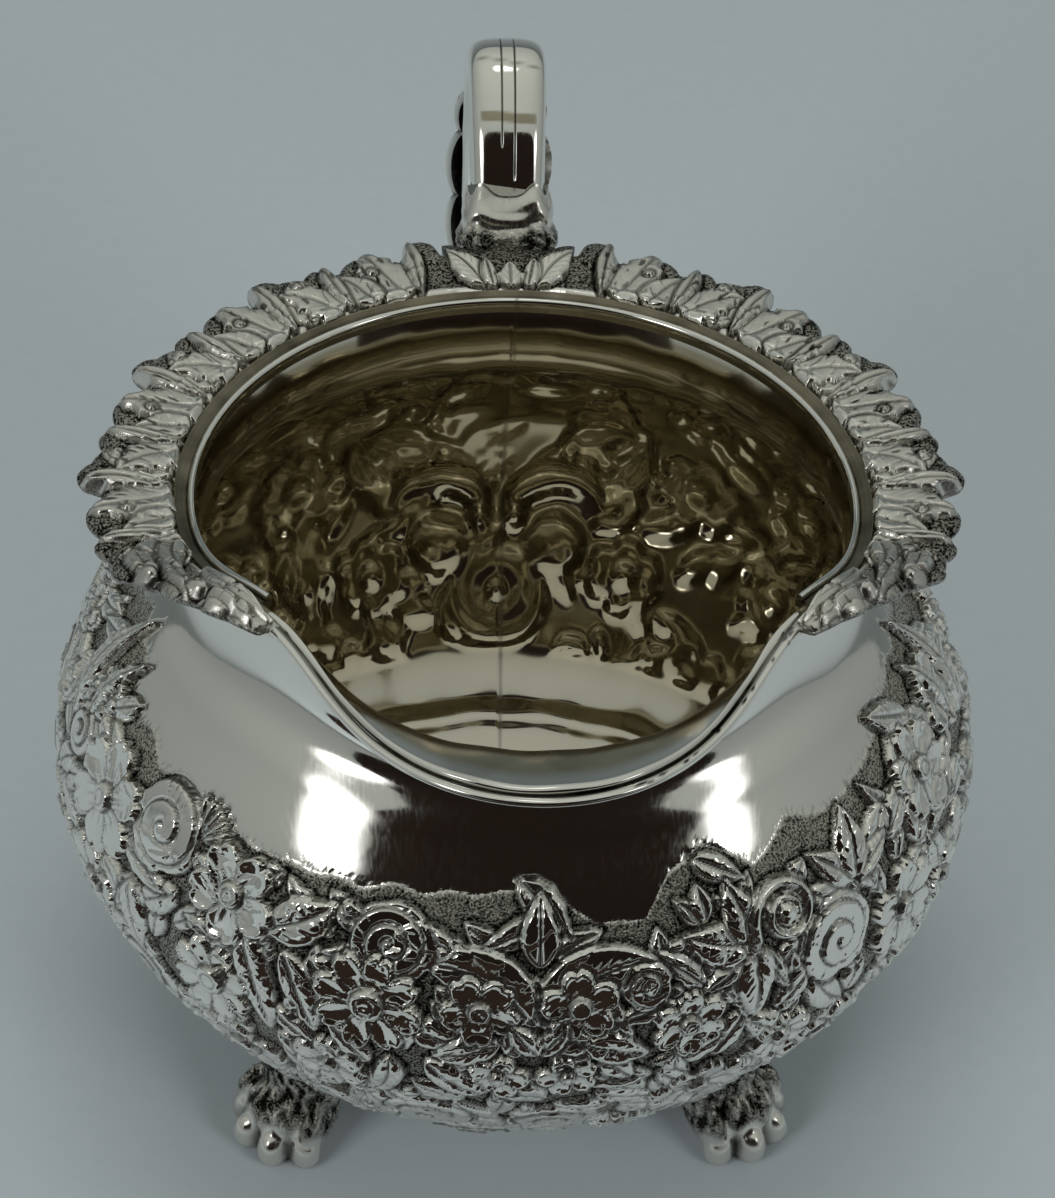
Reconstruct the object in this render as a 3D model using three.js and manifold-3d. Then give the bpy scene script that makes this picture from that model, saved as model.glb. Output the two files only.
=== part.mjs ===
// Silver cream jug: a squat raised body with a drawn-out pouring lip, a cast leaf-and-shell border,
// a hollow two-part scroll handle and four cast paw feet.
// Millimetres, +Z up, the lip towards -Y. The origin is on the table, under the middle of the jug's length.

import * as THREE from "three";
import { mergeVertices } from "three/addons/utils/BufferGeometryUtils.js";
import Module from "manifold-3d";

// Driving dimensions

const LIP_REACH = 55; // from the body's axis to the outside of the wire round the lip
const HANDLE_REACH = 81.8; // from the body's axis to the back of the handle's leaf
const SHEET = 0.8; // wall of the raised body
const GAP = 0.3; // left between soldered pieces
const BASE_Z = 8; // underside of the base above the table
const BASE_RADIUS = 25.2;
const RIM_HEIGHT = 78.6; // top edge of the body at the sides and back
const LIP_HALF_ANGLE = THREE.MathUtils.degToRad(48); // the lip runs this far to each side of the front
const SHOULDER_RISE = 5; // how far the rim rises where the lip meets the border
const LIP_RISE = 2.7; // how far it rises at the middle of the lip
const SHOULDER_SPREAD = THREE.MathUtils.degToRad(20);
const LIP_WIRE_RADIUS = 0.75;
const LIP_EDGE = LIP_REACH - 2 * LIP_WIRE_RADIUS - GAP; // edge of the sheet at the middle of the lip

const BORDER_SECTIONS_PER_SIDE = 5;
const BORDER_START = THREE.MathUtils.degToRad(54); // where the first cast section starts, from the front
const BORDER_END = THREE.MathUtils.degToRad(170.5); // where the last one meets the handle's socket
const BORDER_WIDTH = 9.8;
const BORDER_THICKNESS = 2;

const HANDLE_HALF_WIDTH = 5;
const HANDLE_HALF_DEPTH = 3.2;
const HANDLE_WALL = 1.1;

const FOOT_RADIUS = 37.2; // from the body's axis to the middle of a paw
const FOOT_ANGLE = THREE.MathUtils.degToRad(47); // paws stand this far round from the front and the back

const AROUND = 60; // facets round the body

const wasm = await Module();
wasm.setup();

// Materials

const silver = (name, color, roughness) =>
  new THREE.MeshStandardMaterial({ name, color, roughness, metalness: 1 });
const POLISHED = silver("polished_silver", 0xd9d8d2, 0.12);
const CHASED = silver("chased_silver", 0xc4c1b8, 0.3);
const CAST = silver("cast_silver", 0xbcb8ad, 0.28);

// Outlines, as (radius, height) stations from the base up to the edge of the rim

const BELLY = [
  [BASE_RADIUS + GAP, BASE_Z + 0.2],
  [33, 11],
  [41.6, 19.2],
  [49.4, 29.8],
  [53.2, 38],
  [54, 44.5],
  [53, 52.4],
  [49.2, 60],
  [43.8, 65.9],
];
const COLLAR = [
  [40, 69.3],
  [38.2, 72.4],
  [38.1, 75.6],
  [39.3, RIM_HEIGHT],
];
const LIP = [
  [40.6, 69.6],
  [40.9, 73.2],
  [45.4, 77.2],
  [LIP_EDGE, 79],
];

// The lip's share at angle t from the front: 1 at the middle of the lip, 0 past its ends.
const lipShare = (t) => {
  const a = Math.min(Math.abs(wrapAngle(t)) / LIP_HALF_ANGLE, 1);
  return 0.5 * (1 + Math.cos(Math.PI * a));
};
const wrapAngle = (t) => Math.atan2(Math.sin(t), Math.cos(t));

// How far the rim stands above RIM_HEIGHT at angle t.
const rimRise = (t) => {
  const fromShoulder =
    (Math.abs(wrapAngle(t)) - LIP_HALF_ANGLE) / SHOULDER_SPREAD;
  return LIP_RISE * lipShare(t) + SHOULDER_RISE * Math.exp(-(fromShoulder ** 2));
};

const polar = (radius, t, z) =>
  new THREE.Vector3(radius * Math.sin(t), -radius * Math.cos(t), z);

// Geometry helpers

// Moves every vertex of a geometry by place(x, y, z), and turns the faces out again if that mirrored it.
function reshape(geometry, place) {
  const position = geometry.getAttribute("position");
  const bare = new THREE.BufferGeometry();
  bare.setAttribute("position", position.clone());
  if (geometry.index) bare.setIndex(geometry.index.clone());
  const moved = bare.getAttribute("position");
  for (let i = 0; i < moved.count; i++) {
    const p = place(position.getX(i), position.getY(i), position.getZ(i), i);
    moved.setXYZ(i, p.x, p.y, p.z);
  }
  const merged = mergeVertices(bare, 1e-4);
  if (signedVolume(merged) < 0) {
    const index = merged.index.array;
    for (let i = 0; i < index.length; i += 3)
      [index[i + 1], index[i + 2]] = [index[i + 2], index[i + 1]];
  }
  merged.computeVertexNormals();
  return merged;
}

function signedVolume(geometry) {
  const position = geometry.getAttribute("position");
  const corner = [
    new THREE.Vector3(),
    new THREE.Vector3(),
    new THREE.Vector3(),
  ];
  let six = 0;
  for (let i = 0; i < geometry.index.count; i += 3) {
    corner.forEach((c, k) =>
      c.fromBufferAttribute(position, geometry.index.getX(i + k)),
    );
    six += corner[0].dot(corner[1].clone().cross(corner[2]));
  }
  return six / 6;
}

// A section drawn in x and y, extruded by 1 in z in equal steps, then placed point by point.
function bentBar(outline, steps, place) {
  const shape = new THREE.Shape(outline.map(([x, y]) => new THREE.Vector2(x, y)));
  const straight = new THREE.ExtrudeGeometry(shape, {
    depth: 1,
    steps,
    bevelEnabled: false,
    curveSegments: 8,
  });
  return reshape(straight, place);
}

const smoothLine = (stations, count) =>
  new THREE.SplineCurve(
    stations.map(([r, z]) => new THREE.Vector2(r, z)),
  ).getPoints(count);

const arcPoints = (cx, cy, rx, ry, from, to, count) =>
  Array.from({ length: count + 1 }, (_, i) => {
    const a = from + ((to - from) * i) / count;
    return [cx + rx * Math.cos(a), cy + ry * Math.sin(a)];
  });

// The line moved sideways by a distance, towards the axis for a positive one.
function offsetLine(line, distance) {
  return line.map((p, i) => {
    const before = line[Math.max(i - 1, 0)];
    const after = line[Math.min(i + 1, line.length - 1)];
    const along = after.clone().sub(before).normalize();
    return new THREE.Vector2(p.x - along.y * distance, p.y + along.x * distance);
  });
}

// manifold-3d solids, for pieces that are joined or cut

function toSolid(geometry) {
  const bare = new THREE.BufferGeometry();
  bare.setAttribute("position", geometry.getAttribute("position"));
  if (geometry.index) bare.setIndex(geometry.index);
  const merged = mergeVertices(bare, 1e-4);
  return new wasm.Manifold(
    new wasm.Mesh({
      numProp: 3,
      vertProperties: new Float32Array(merged.getAttribute("position").array),
      triVerts: new Uint32Array(merged.index.array),
    }),
  );
}

function toGeometry(solid) {
  const mesh = solid.getMesh();
  const geometry = new THREE.BufferGeometry();
  geometry.setAttribute(
    "position",
    new THREE.BufferAttribute(new Float32Array(mesh.vertProperties), 3),
  );
  geometry.setIndex(new THREE.BufferAttribute(new Uint32Array(mesh.triVerts), 1));
  geometry.computeVertexNormals();
  return geometry;
}

// The body: belly, collar and lip in one raised sheet

const STATIONS = 20; // along the sheet, from the base to the edge of the rim

// The sheet's closed section, outer line up and inner line down, for the collar or for the lip.
function sheetSection(neck) {
  const line = smoothLine([...BELLY, ...neck], STATIONS);
  const inner = offsetLine(line, SHEET).reverse();
  const section = [...line, ...inner];
  return [...section, section[0].clone()];
}

const collarSection = sheetSection(COLLAR);
const lipSection = sheetSection(LIP);
const BELLY_TOP = BELLY[BELLY.length - 2][1];

// LatheGeometry's angle runs from +Z towards +X about Y. Here its Y becomes the jug's Z.
function bodyShell() {
  const lathe = new THREE.LatheGeometry(collarSection, AROUND);
  const perColumn = collarSection.length;
  return reshape(lathe, (x, y, z, i) => {
    const t = Math.atan2(x, z);
    const collar = collarSection[i % perColumn];
    const lip = lipSection[i % perColumn];
    const share = lipShare(t);
    const climb = THREE.MathUtils.smoothstep(collar.y, BELLY_TOP, RIM_HEIGHT);
    const radius = THREE.MathUtils.lerp(collar.x, lip.x, share);
    const height = THREE.MathUtils.lerp(collar.y, lip.y, share);
    return polar(radius, t, height + rimRise(t) * climb);
  });
}

// Where the top edge of the body is at angle t: the middle of the sheet's edge. The edge is square to the
// sheet, which leans out, so its inner corner stands EDGE_TILT higher.
const EDGE_TILT = 0.35;
const rimRadius = (t) =>
  THREE.MathUtils.lerp(COLLAR.at(-1)[0], LIP_EDGE, lipShare(t)) - SHEET / 2;
const rimZ = (t) =>
  RIM_HEIGHT + rimRise(t) + lipShare(t) * (LIP.at(-1)[1] - RIM_HEIGHT);

function baseDisc() {
  const thickness = 0.8;
  const dish = 0.5; // the middle is pushed up a little, so that the edge of the disc stays flat
  const profile = [
    [0, BASE_Z + dish],
    [BASE_RADIUS * 0.3, BASE_Z + dish],
    [BASE_RADIUS * 0.42, BASE_Z],
    [BASE_RADIUS, BASE_Z],
    [BASE_RADIUS, BASE_Z + thickness],
    [BASE_RADIUS * 0.42, BASE_Z + thickness],
    [BASE_RADIUS * 0.3, BASE_Z + thickness + dish],
    [0, BASE_Z + thickness + dish],
  ].map(([r, z]) => new THREE.Vector2(r, z));
  return reshape(new THREE.LatheGeometry(profile, AROUND), (x, y, z) => new THREE.Vector3(x, -z, y));
}

// The rim: a reeded wire on the edge, a fine wire round the lip, and the cast border outside them

const WIRE_WIDTH = 2.4;
const WIRE_HEIGHT = 1.3;

function rimWire() {
  const half = WIRE_WIDTH / 2;
  const foot = 0.3; // the valley between the two reeds stays this far above the wire's flat back
  const reed = (centre) =>
    arcPoints(centre, foot, half / 2, WIRE_HEIGHT - foot, 0, Math.PI, 5);
  const outline = [[-half, 0], [half, 0], ...reed(half / 2), ...reed(-half / 2).slice(1)];
  const start = BORDER_START - THREE.MathUtils.degToRad(4);
  return bentBar(outline, AROUND - 12, (x, y, z) => {
    const t = start + (2 * Math.PI - 2 * start) * z;
    return polar(rimRadius(t) + x, t, rimZ(t) + EDGE_TILT + GAP + y);
  });
}

function lipWire() {
  const radius = LIP_WIRE_RADIUS;
  const outline = arcPoints(0, 0, radius, radius, 0, 2 * Math.PI, 8).slice(0, -1);
  const end = LIP_HALF_ANGLE - THREE.MathUtils.degToRad(4);
  return bentBar(outline, 30, (x, y, z) => {
    const t = -end + 2 * end * z;
    const out = SHEET / 2 + radius + GAP;
    return polar(rimRadius(t) + out + x, t, rimZ(t) - radius * 0.6 + y);
  });
}

// The border leans up towards the lip, and narrows as it gets there.
const borderFade = (t) =>
  THREE.MathUtils.smoothstep(
    Math.abs(wrapAngle(t)),
    LIP_HALF_ANGLE - THREE.MathUtils.degToRad(2),
    THREE.MathUtils.degToRad(80),
  );
const borderLean = (t) =>
  THREE.MathUtils.degToRad(THREE.MathUtils.lerp(30, 9, borderFade(t)));
const borderReach = (t) =>
  BORDER_WIDTH * THREE.MathUtils.lerp(0.42, 1, borderFade(t));

const INNER_EDGE = 1.3; // height of the border's edge beside the wire

// A point on the border: out is 0 at the wire and 1 at the mean outer edge, up is above its back.
function borderPoint(t, out, up) {
  const lean = borderLean(t);
  const along = out * borderReach(t);
  const start = rimRadius(t) + WIRE_WIDTH / 2 + GAP + INNER_EDGE * Math.sin(lean);
  return polar(
    start + along * Math.cos(lean) - up * Math.sin(lean),
    t,
    rimZ(t) + along * Math.sin(lean) + up * Math.cos(lean),
  );
}

const BORDER_OUTLINE = [
  [0, 0],
  [0.5, -0.3],
  [0.92, -0.9],
  [1, -0.2],
  [0.96, 0.9],
  [0.8, 1.7],
  [0.5, 2.1],
  [0.2, 1.9],
  [0, INNER_EDGE],
];

// One cast length of the border, with two lobes on its outer edge.
function borderSection(from, to) {
  const inset = (Math.sign(to - from) * GAP) / (2 * rimRadius(Math.PI));
  const lobe = 0.12;
  return bentBar(BORDER_OUTLINE, 12, (x, y, z) => {
    const t = THREE.MathUtils.lerp(from + inset, to - inset, z);
    const scallop = 1 + lobe * (Math.abs(Math.sin(2 * Math.PI * z)) - 0.5);
    return borderPoint(t, x * scallop, (y * BORDER_THICKNESS) / 2);
  });
}

// The leaf that ends the border where the lip begins.
function borderEnd(side) {
  const from = THREE.MathUtils.degToRad(45);
  const outline = BORDER_OUTLINE.map(([x, y]) => [x, y * 0.8]);
  return bentBar(outline, 8, (x, y, z) => {
    const t = THREE.MathUtils.lerp(from, BORDER_START - 0.004, z);
    const taper = THREE.MathUtils.lerp(0.35, 1, Math.sqrt(z));
    return borderPoint(side * t, x * taper, y);
  });
}

// The handle: a flattened tube cast in two halves, along a line in the jug's middle plane

const LEAF_THICKNESS = 1.3;
const HANDLE_BACK = HANDLE_REACH - LEAF_THICKNESS - GAP - HANDLE_HALF_DEPTH;
const HANDLE_LINE = new THREE.CatmullRomCurve3(
  [
    [51.6, 75.4],
    [54, 79.6],
    [57.2, 85.3],
    [62, 91.8],
    [67, 95.2],
    [72.4, 92.8],
    [HANDLE_BACK - 0.8, 86.4],
    [HANDLE_BACK, 78.2],
    [74, 68.4],
    [68.8, 60],
    [63, 54],
    [59.6, 49.4],
    [59.8, 44.8],
    [62.8, 42.2],
    [66, 43.2],
  ].map(([y, z]) => new THREE.Vector3(0, y, z)),
);
const SOCKET_END = 0.11; // the share of the line inside the upper socket
const TAIL_START = 0.84; // where the handle starts to thin to its curled tail

// A point beside the handle's line: across is along X, out is away from the finger gap.
function handlePoint(u, across, out) {
  const p = HANDLE_LINE.getPointAt(THREE.MathUtils.clamp(u, 0, 1));
  const along = HANDLE_LINE.getTangentAt(THREE.MathUtils.clamp(u, 0, 1));
  return new THREE.Vector3(across, p.y - along.z * out, p.z + along.y * out);
}

// The handle swells a little in the middle of its length, and its tail is thin.
const handleSwell = (u) =>
  1 - 0.12 * (2 * u - 1) ** 2 - 0.4 * THREE.MathUtils.smoothstep(u, TAIL_START, 1);

// Half of a rounded oblong, from its underside round to its top.
const halfOblong = (halfWidth, halfDepth, count) =>
  Array.from({ length: count + 1 }, (_, i) => {
    const a = -Math.PI / 2 + (Math.PI * i) / count;
    const squarish = (v) => Math.sign(v) * Math.abs(v) ** 0.6;
    return [halfWidth * Math.max(squarish(Math.cos(a)), 0), halfDepth * squarish(Math.sin(a))];
  });

function handleHalf(side) {
  const wall = (inset) =>
    halfOblong(HANDLE_HALF_WIDTH - inset, HANDLE_HALF_DEPTH - inset, 6).map(([x, y]) => [
      x + GAP / 2,
      y,
    ]);
  const outline = [...wall(0), ...wall(HANDLE_WALL).reverse()];
  const start = SOCKET_END + GAP / HANDLE_LINE.getLength();
  return bentBar(outline, 30, (x, y, z) => {
    const u = THREE.MathUtils.lerp(start, 1, z);
    return handlePoint(u, side * x * handleSwell(u), y * handleSwell(u));
  });
}

// The foliate casting in the border that the handle rises from: a length of border with a collar behind it.
function upperSocket() {
  const half = Math.PI - BORDER_END - GAP / rimRadius(Math.PI);
  const border = bentBar(BORDER_OUTLINE, 8, (x, y, z) =>
    borderPoint(Math.PI + (2 * z - 1) * half, x, y),
  );
  const side = halfOblong(HANDLE_HALF_WIDTH + 0.8, HANDLE_HALF_DEPTH + 0.8, 6);
  const outline = [...side, ...side.slice(1, -1).reverse().map(([x, y]) => [-x, y])];
  const collar = bentBar(outline, 4, (x, y, z) => handlePoint(SOCKET_END * z, x, y));
  return toGeometry(toSolid(border).add(toSolid(collar)));
}

// The acanthus leaf laid over the back of the handle: broad above, with lobes down each edge.
function leafCap() {
  const from = 0.42;
  const to = 0.78;
  const lobes = 4;
  const edge = 2.6; // how far the leaf wraps down the sides
  const outline = [
    [-1, -edge],
    [-0.93, 0.2],
    [-0.6, 1],
    [0, LEAF_THICKNESS],
    [0.6, 1],
    [0.93, 0.2],
    [1, -edge],
    [0.84, -edge],
    [0.78, -0.2],
    [0, 0],
    [-0.78, -0.2],
    [-0.84, -edge],
  ].reverse();
  return bentBar(outline, 24, (x, y, z) => {
    const u = THREE.MathUtils.lerp(from, to, z);
    const swell = handleSwell(u);
    const lobe = Math.abs(x) > 0.9 ? 1 + 0.12 * Math.abs(Math.sin(Math.PI * lobes * z)) : 1;
    const clear = HANDLE_HALF_WIDTH * swell + GAP + 1.2;
    return handlePoint(u, x * clear * lobe, HANDLE_HALF_DEPTH * swell + GAP + y);
  });
}

// The oval pad on the belly that the handle is soldered to, just above its tail.
function lowerJoint() {
  const pad = new THREE.SphereGeometry(1, 20, 12);
  const solid = toSolid(
    reshape(pad, (x, y, z) => new THREE.Vector3(x * 6, 53.6 + z * 5, 49.6 + y * 6.5)),
  );
  return toGeometry(solid.subtract(bellyBlock(GAP)).subtract(handleBlock()));
}

// Blocks that pieces are cut by: the belly, and the lower stretch of the handle, each grown by GAP

function bellyBlock(clearance) {
  const line = offsetLine(smoothLine([...BELLY, ...COLLAR], STATIONS), -clearance);
  const profile = [
    new THREE.Vector2(0, line[0].y),
    ...line,
    new THREE.Vector2(0, line.at(-1).y),
  ];
  const lathe = new THREE.LatheGeometry(profile, AROUND);
  return toSolid(reshape(lathe, (x, y, z) => new THREE.Vector3(x, -z, y)));
}

function handleBlock() {
  const side = halfOblong(HANDLE_HALF_WIDTH + 2 * GAP, HANDLE_HALF_DEPTH + GAP, 6);
  const outline = [...side, ...side.slice(1, -1).reverse().map(([x, y]) => [-x, y])];
  return toSolid(
    bentBar(outline, 12, (x, y, z) => handlePoint(THREE.MathUtils.lerp(0.7, 0.96, z), x, y)),
  );
}

// A paw: toes round the front of a pad, with an ankle rising to the belly, cut flat underneath

function paw() {
  const ball = (cx, cy, cz, rx, ry, rz, turn) => {
    const c = Math.cos(turn);
    const s = Math.sin(turn);
    return toSolid(
      reshape(new THREE.SphereGeometry(1, 12, 8), (x, y, z) => {
        const [forward, side] = [x * rx, z * ry];
        return new THREE.Vector3(
          cx + forward * c - side * s,
          cy + forward * s + side * c,
          cz + y * rz,
        );
      }),
    );
  };
  let solid = ball(-0.6, 0, 3.8, 6.2, 5.9, 5.2, 0);
  solid = solid.add(ball(-3, 0, 9, 5.2, 5.4, 7.5, 0));
  const toes = [-58, -20, 20, 58].map((a) => THREE.MathUtils.degToRad(a));
  for (const a of toes)
    solid = solid.add(
      ball(4 * Math.cos(a), 4.6 * Math.sin(a), 2.5, 3.2, 2.3, 3.1, a),
    );
  return solid;
}

function foot(around) {
  const block = toSolid(new THREE.BoxGeometry(40, 40, 40).translate(0, 0, 20));
  const standing = toGeometry(paw().intersect(block));
  const placed = reshape(standing, (x, y, z) => {
    const t = around;
    const radial = FOOT_RADIUS + x;
    return new THREE.Vector3(
      radial * Math.sin(t) + y * Math.cos(t),
      -radial * Math.cos(t) + y * Math.sin(t),
      z,
    );
  });
  return toGeometry(toSolid(placed).subtract(bellyBlock(GAP)));
}

// Assembly

const jug = new THREE.Group();
jug.position.y = (LIP_REACH - HANDLE_REACH) / 2;

function addPiece(name, geometry, material) {
  const mesh = new THREE.Mesh(geometry, material);
  mesh.name = name;
  jug.add(mesh);
}

addPiece("body_shell", bodyShell(), CHASED);
addPiece("base_disc", baseDisc(), POLISHED);
addPiece("rim_wire", rimWire(), POLISHED);
addPiece("lip_wire", lipWire(), POLISHED);

for (const [sideName, side] of [["left", -1], ["right", 1]]) {
  addPiece(`border_end_${sideName}`, borderEnd(side), CAST);
  const step = (BORDER_END - BORDER_START) / BORDER_SECTIONS_PER_SIDE;
  for (let i = 0; i < BORDER_SECTIONS_PER_SIDE; i++) {
    const from = BORDER_START + i * step;
    addPiece(
      `border_section_${sideName}_${i + 1}`,
      borderSection(side * from, side * (from + step)),
      CAST,
    );
  }
  addPiece(`handle_half_${sideName}`, handleHalf(side), POLISHED);
}

addPiece("handle_upper_socket", upperSocket(), CAST);
addPiece("handle_leaf_cap", leafCap(), CAST);
addPiece("handle_lower_joint", lowerJoint(), CAST);

addPiece("foot_front_left", foot(-FOOT_ANGLE), CAST);
addPiece("foot_front_right", foot(FOOT_ANGLE), CAST);
addPiece("foot_back_left", foot(Math.PI + FOOT_ANGLE), CAST);
addPiece("foot_back_right", foot(Math.PI - FOOT_ANGLE), CAST);

export default jug;
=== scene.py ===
"""Silver cream jug, the visual model.

A squat raised body chased with flowers and leaves, a drawn-out pouring lip, a cast border of leaves
and lobes, a scroll handle and four paw feet. Sizes are millimetres on the jug's own upright axis, with
the lip towards -Y, until a mesh is made. The workbench then puts them in metres in the shared frame.
"""

import logging
import math
from dataclasses import dataclass, field
from enum import Enum
from typing import Iterable, Protocol, Sequence

import bmesh
import bpy
import numpy as np
from mathutils import Matrix, Vector

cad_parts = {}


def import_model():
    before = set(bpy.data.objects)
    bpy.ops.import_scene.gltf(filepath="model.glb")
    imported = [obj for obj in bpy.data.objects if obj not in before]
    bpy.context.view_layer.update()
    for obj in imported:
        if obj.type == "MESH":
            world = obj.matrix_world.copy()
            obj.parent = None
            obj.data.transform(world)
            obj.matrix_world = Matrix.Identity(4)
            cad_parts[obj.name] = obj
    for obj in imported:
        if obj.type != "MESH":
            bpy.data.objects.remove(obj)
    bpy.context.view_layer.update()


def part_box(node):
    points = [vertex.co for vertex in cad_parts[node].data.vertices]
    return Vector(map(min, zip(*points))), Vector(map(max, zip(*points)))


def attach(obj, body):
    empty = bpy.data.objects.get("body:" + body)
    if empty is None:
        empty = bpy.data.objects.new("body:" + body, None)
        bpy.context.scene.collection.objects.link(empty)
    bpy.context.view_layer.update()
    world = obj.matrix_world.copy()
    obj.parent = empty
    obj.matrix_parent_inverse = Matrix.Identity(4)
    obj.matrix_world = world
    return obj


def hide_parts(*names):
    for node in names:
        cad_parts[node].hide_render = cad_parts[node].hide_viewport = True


LOG = logging.getLogger("cream_jug")
MM = 0.001
BODY = "root"
# Left and right
BOTH = (-1.0, 1.0)
# How many waves make up a soft unevenness
WAVE_COUNT = 9
# Millimetres to each radian round the belly, the border and the low inside wall
BELLY_ROUND = 50.0
BORDER_ROUND = 46.0
RIM_ROUND = 45.0
INSIDE_ROUND = 36.0
# Where the sheet's own soldered seam runs up the back
SEAM = math.radians(179.2)
Point = tuple[float, float]
Worked = tuple[np.ndarray, np.ndarray, np.ndarray]


# Arithmetic shared by the pieces


def ease(low: float, high: float, value: np.ndarray) -> np.ndarray:
    """Rises smoothly from 0 at low to 1 at high."""
    share = np.clip((value - low) / (high - low), 0.0, 1.0)
    return share * share * (3.0 - 2.0 * share)


def bell(value: np.ndarray, width: float) -> np.ndarray:
    """1 where value is 0, fading over width."""
    return np.exp(-((value / width) ** 2))


def wrapped(angle: np.ndarray) -> np.ndarray:
    """The angle brought between half a turn each way."""
    return (angle + math.pi) % math.tau - math.pi


def between(start: np.ndarray, end: np.ndarray, share: np.ndarray) -> np.ndarray:
    """The blend of two values."""
    return start * (1.0 - share) + end * share


def waves(across: np.ndarray, up: np.ndarray, pitch: float, seed: int) -> np.ndarray:
    """A soft seeded unevenness of about that pitch.

    Args:
        across, up: Places in millimetres.
        pitch: Typical distance between its hollows, in millimetres.
        seed: Chooses the pattern.

    Returns:
        Values mostly between -1 and 1.
    """
    rng = np.random.default_rng(seed)
    total = np.zeros(np.broadcast(across, up).shape)
    for _ in range(WAVE_COUNT):
        way = rng.uniform(0.0, math.tau)
        length = pitch * rng.uniform(0.7, 1.5)
        phase = rng.uniform(0.0, math.tau)
        total += np.sin(math.tau * (across * math.cos(way) + up * math.sin(way)) / length + phase)
    return total / math.sqrt(WAVE_COUNT)


def softened(values: np.ndarray, reach: int, closed: bool) -> np.ndarray:
    """Blurs a field evenly.

    Args:
        values: A field, (columns, rows).
        reach: How many cells each way it is blurred over.
        closed: Whether the last column meets the first.

    Returns:
        The blurred field.
    """
    steps = np.arange(-reach, reach + 1)
    weights = np.exp(-((steps / (0.5 * reach)) ** 2))
    weights /= weights.sum()
    mode = "wrap" if closed else "edge"
    wide = np.pad(values, ((reach, reach), (0, 0)), mode=mode)
    values = sum(w * wide[i : i + values.shape[0]] for i, w in enumerate(weights))
    wide = np.pad(values, ((0, 0), (reach, reach)), mode="edge")
    return sum(w * wide[:, i : i + values.shape[1]] for i, w in enumerate(weights))


def polar(radius: np.ndarray, turn: np.ndarray, height: np.ndarray) -> np.ndarray:
    """Points at a radius and height, turned from the front (-Y) towards the right (+X)."""
    radius, turn, height = np.broadcast_arrays(radius, turn, height)
    return np.stack([radius * np.sin(turn), -radius * np.cos(turn), height], axis=-1)


def smooth_line(stations: Sequence[Point], places: np.ndarray) -> np.ndarray:
    """A smooth line through stations.

    Args:
        stations: Points that the line passes through.
        places: Station numbers, with fractions between stations.

    Returns:
        The points at those places.
    """
    known = np.array(stations, float)
    last = len(known) - 1
    first = np.clip(np.floor(places).astype(int), 0, last - 1)
    share = (places - first)[..., None]
    before, here = known[np.maximum(first - 1, 0)], known[first]
    there, after = known[first + 1], known[np.minimum(first + 2, last)]
    leave, arrive = 0.5 * (there - before), 0.5 * (after - here)
    square, cube = share**2, share**3
    return (
        (2 * here - 2 * there + leave + arrive) * cube
        + (3 * there - 3 * here - 2 * leave - arrive) * square
        + leave * share
        + here
    )


# Meshes


def finished(bm: bmesh.types.BMesh, name: str) -> bpy.types.Mesh:
    """Turns a bmesh into a mesh and frees it.

    Args:
        bm: The finished bmesh.
        name: The mesh's name.

    Returns:
        The mesh.
    """
    mesh = bpy.data.meshes.new(name)
    bm.to_mesh(mesh)
    bm.free()
    return mesh


def linked(name: str, data: bpy.types.ID) -> bpy.types.Object:
    """Makes an object and links it to the scene.

    Args:
        name: The object's name.
        data: Its mesh, lamp or camera.

    Returns:
        The object.
    """
    piece = bpy.data.objects.new(name, data)
    bpy.context.scene.collection.objects.link(piece)
    return piece


def mesh_places(mesh: bpy.types.Mesh) -> np.ndarray:
    """Reads a mesh's vertices.

    Args:
        mesh: Any mesh.

    Returns:
        Its vertices' places, (vertices, 3).
    """
    places = np.empty(len(mesh.vertices) * 3, np.float32)
    mesh.vertices.foreach_get("co", places)
    return places.reshape(-1, 3).astype(float)


def move_to(mesh: bpy.types.Mesh, places: np.ndarray) -> None:
    """Moves the mesh's vertices to places."""
    mesh.vertices.foreach_set("co", places.astype(np.float32).ravel())


def shade_with(mesh: bpy.types.Mesh, name: str, values: np.ndarray) -> None:
    """Gives each vertex a value that a finish reads by name."""
    layer = mesh.attributes.new(name, "FLOAT", "POINT")
    layer.data.foreach_set("value", values.astype(np.float32))


def shade_smooth(mesh: bpy.types.Mesh) -> None:
    """Shades every face smooth."""
    mesh.polygons.foreach_set("use_smooth", np.ones(len(mesh.polygons), bool))


def ring_mesh(name: str, rings: np.ndarray, shades: dict[str, np.ndarray] | None = None,
              normals: np.ndarray | None = None) -> bpy.types.Mesh:
    """A closed section swept along a path, capped at both ends.

    Args:
        name: The mesh's name.
        rings: Places in the frame in metres, (columns, ring, 3). Each column is one closed section.
        shades: Values from 0 to 1 for the finish to read, (columns, ring) each.
        normals: Smooth normals of the same shape as rings, where neighbouring pieces share one surface.

    Returns:
        The mesh, with its faces outwards.
    """
    columns, ring = rings.shape[:2]
    bm = bmesh.new()
    bmesh.ops.create_grid(bm, x_segments=columns - 1, y_segments=ring, size=1.0)
    bm.verts.ensure_lookup_table()
    closing = {bm.verts[ring * columns + i]: bm.verts[i] for i in range(columns)}
    bmesh.ops.weld_verts(bm, targetmap=closing)
    bmesh.ops.holes_fill(bm, edges=bm.edges[:], sides=0)
    mesh = finished(bm, name)
    order = np.arange(len(mesh.vertices))
    column, row = order % columns, order // columns
    move_to(mesh, rings[column, row])
    for shade, values in (shades or {}).items():
        shade_with(mesh, shade, values[column, row])
    face_outwards(mesh)
    shade_smooth(mesh)
    if normals is None:
        mesh.set_sharp_from_angle(angle=math.radians(62.0))
    else:
        mesh.normals_split_custom_set_from_vertices(normals[column, row].tolist())
    return mesh


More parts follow.
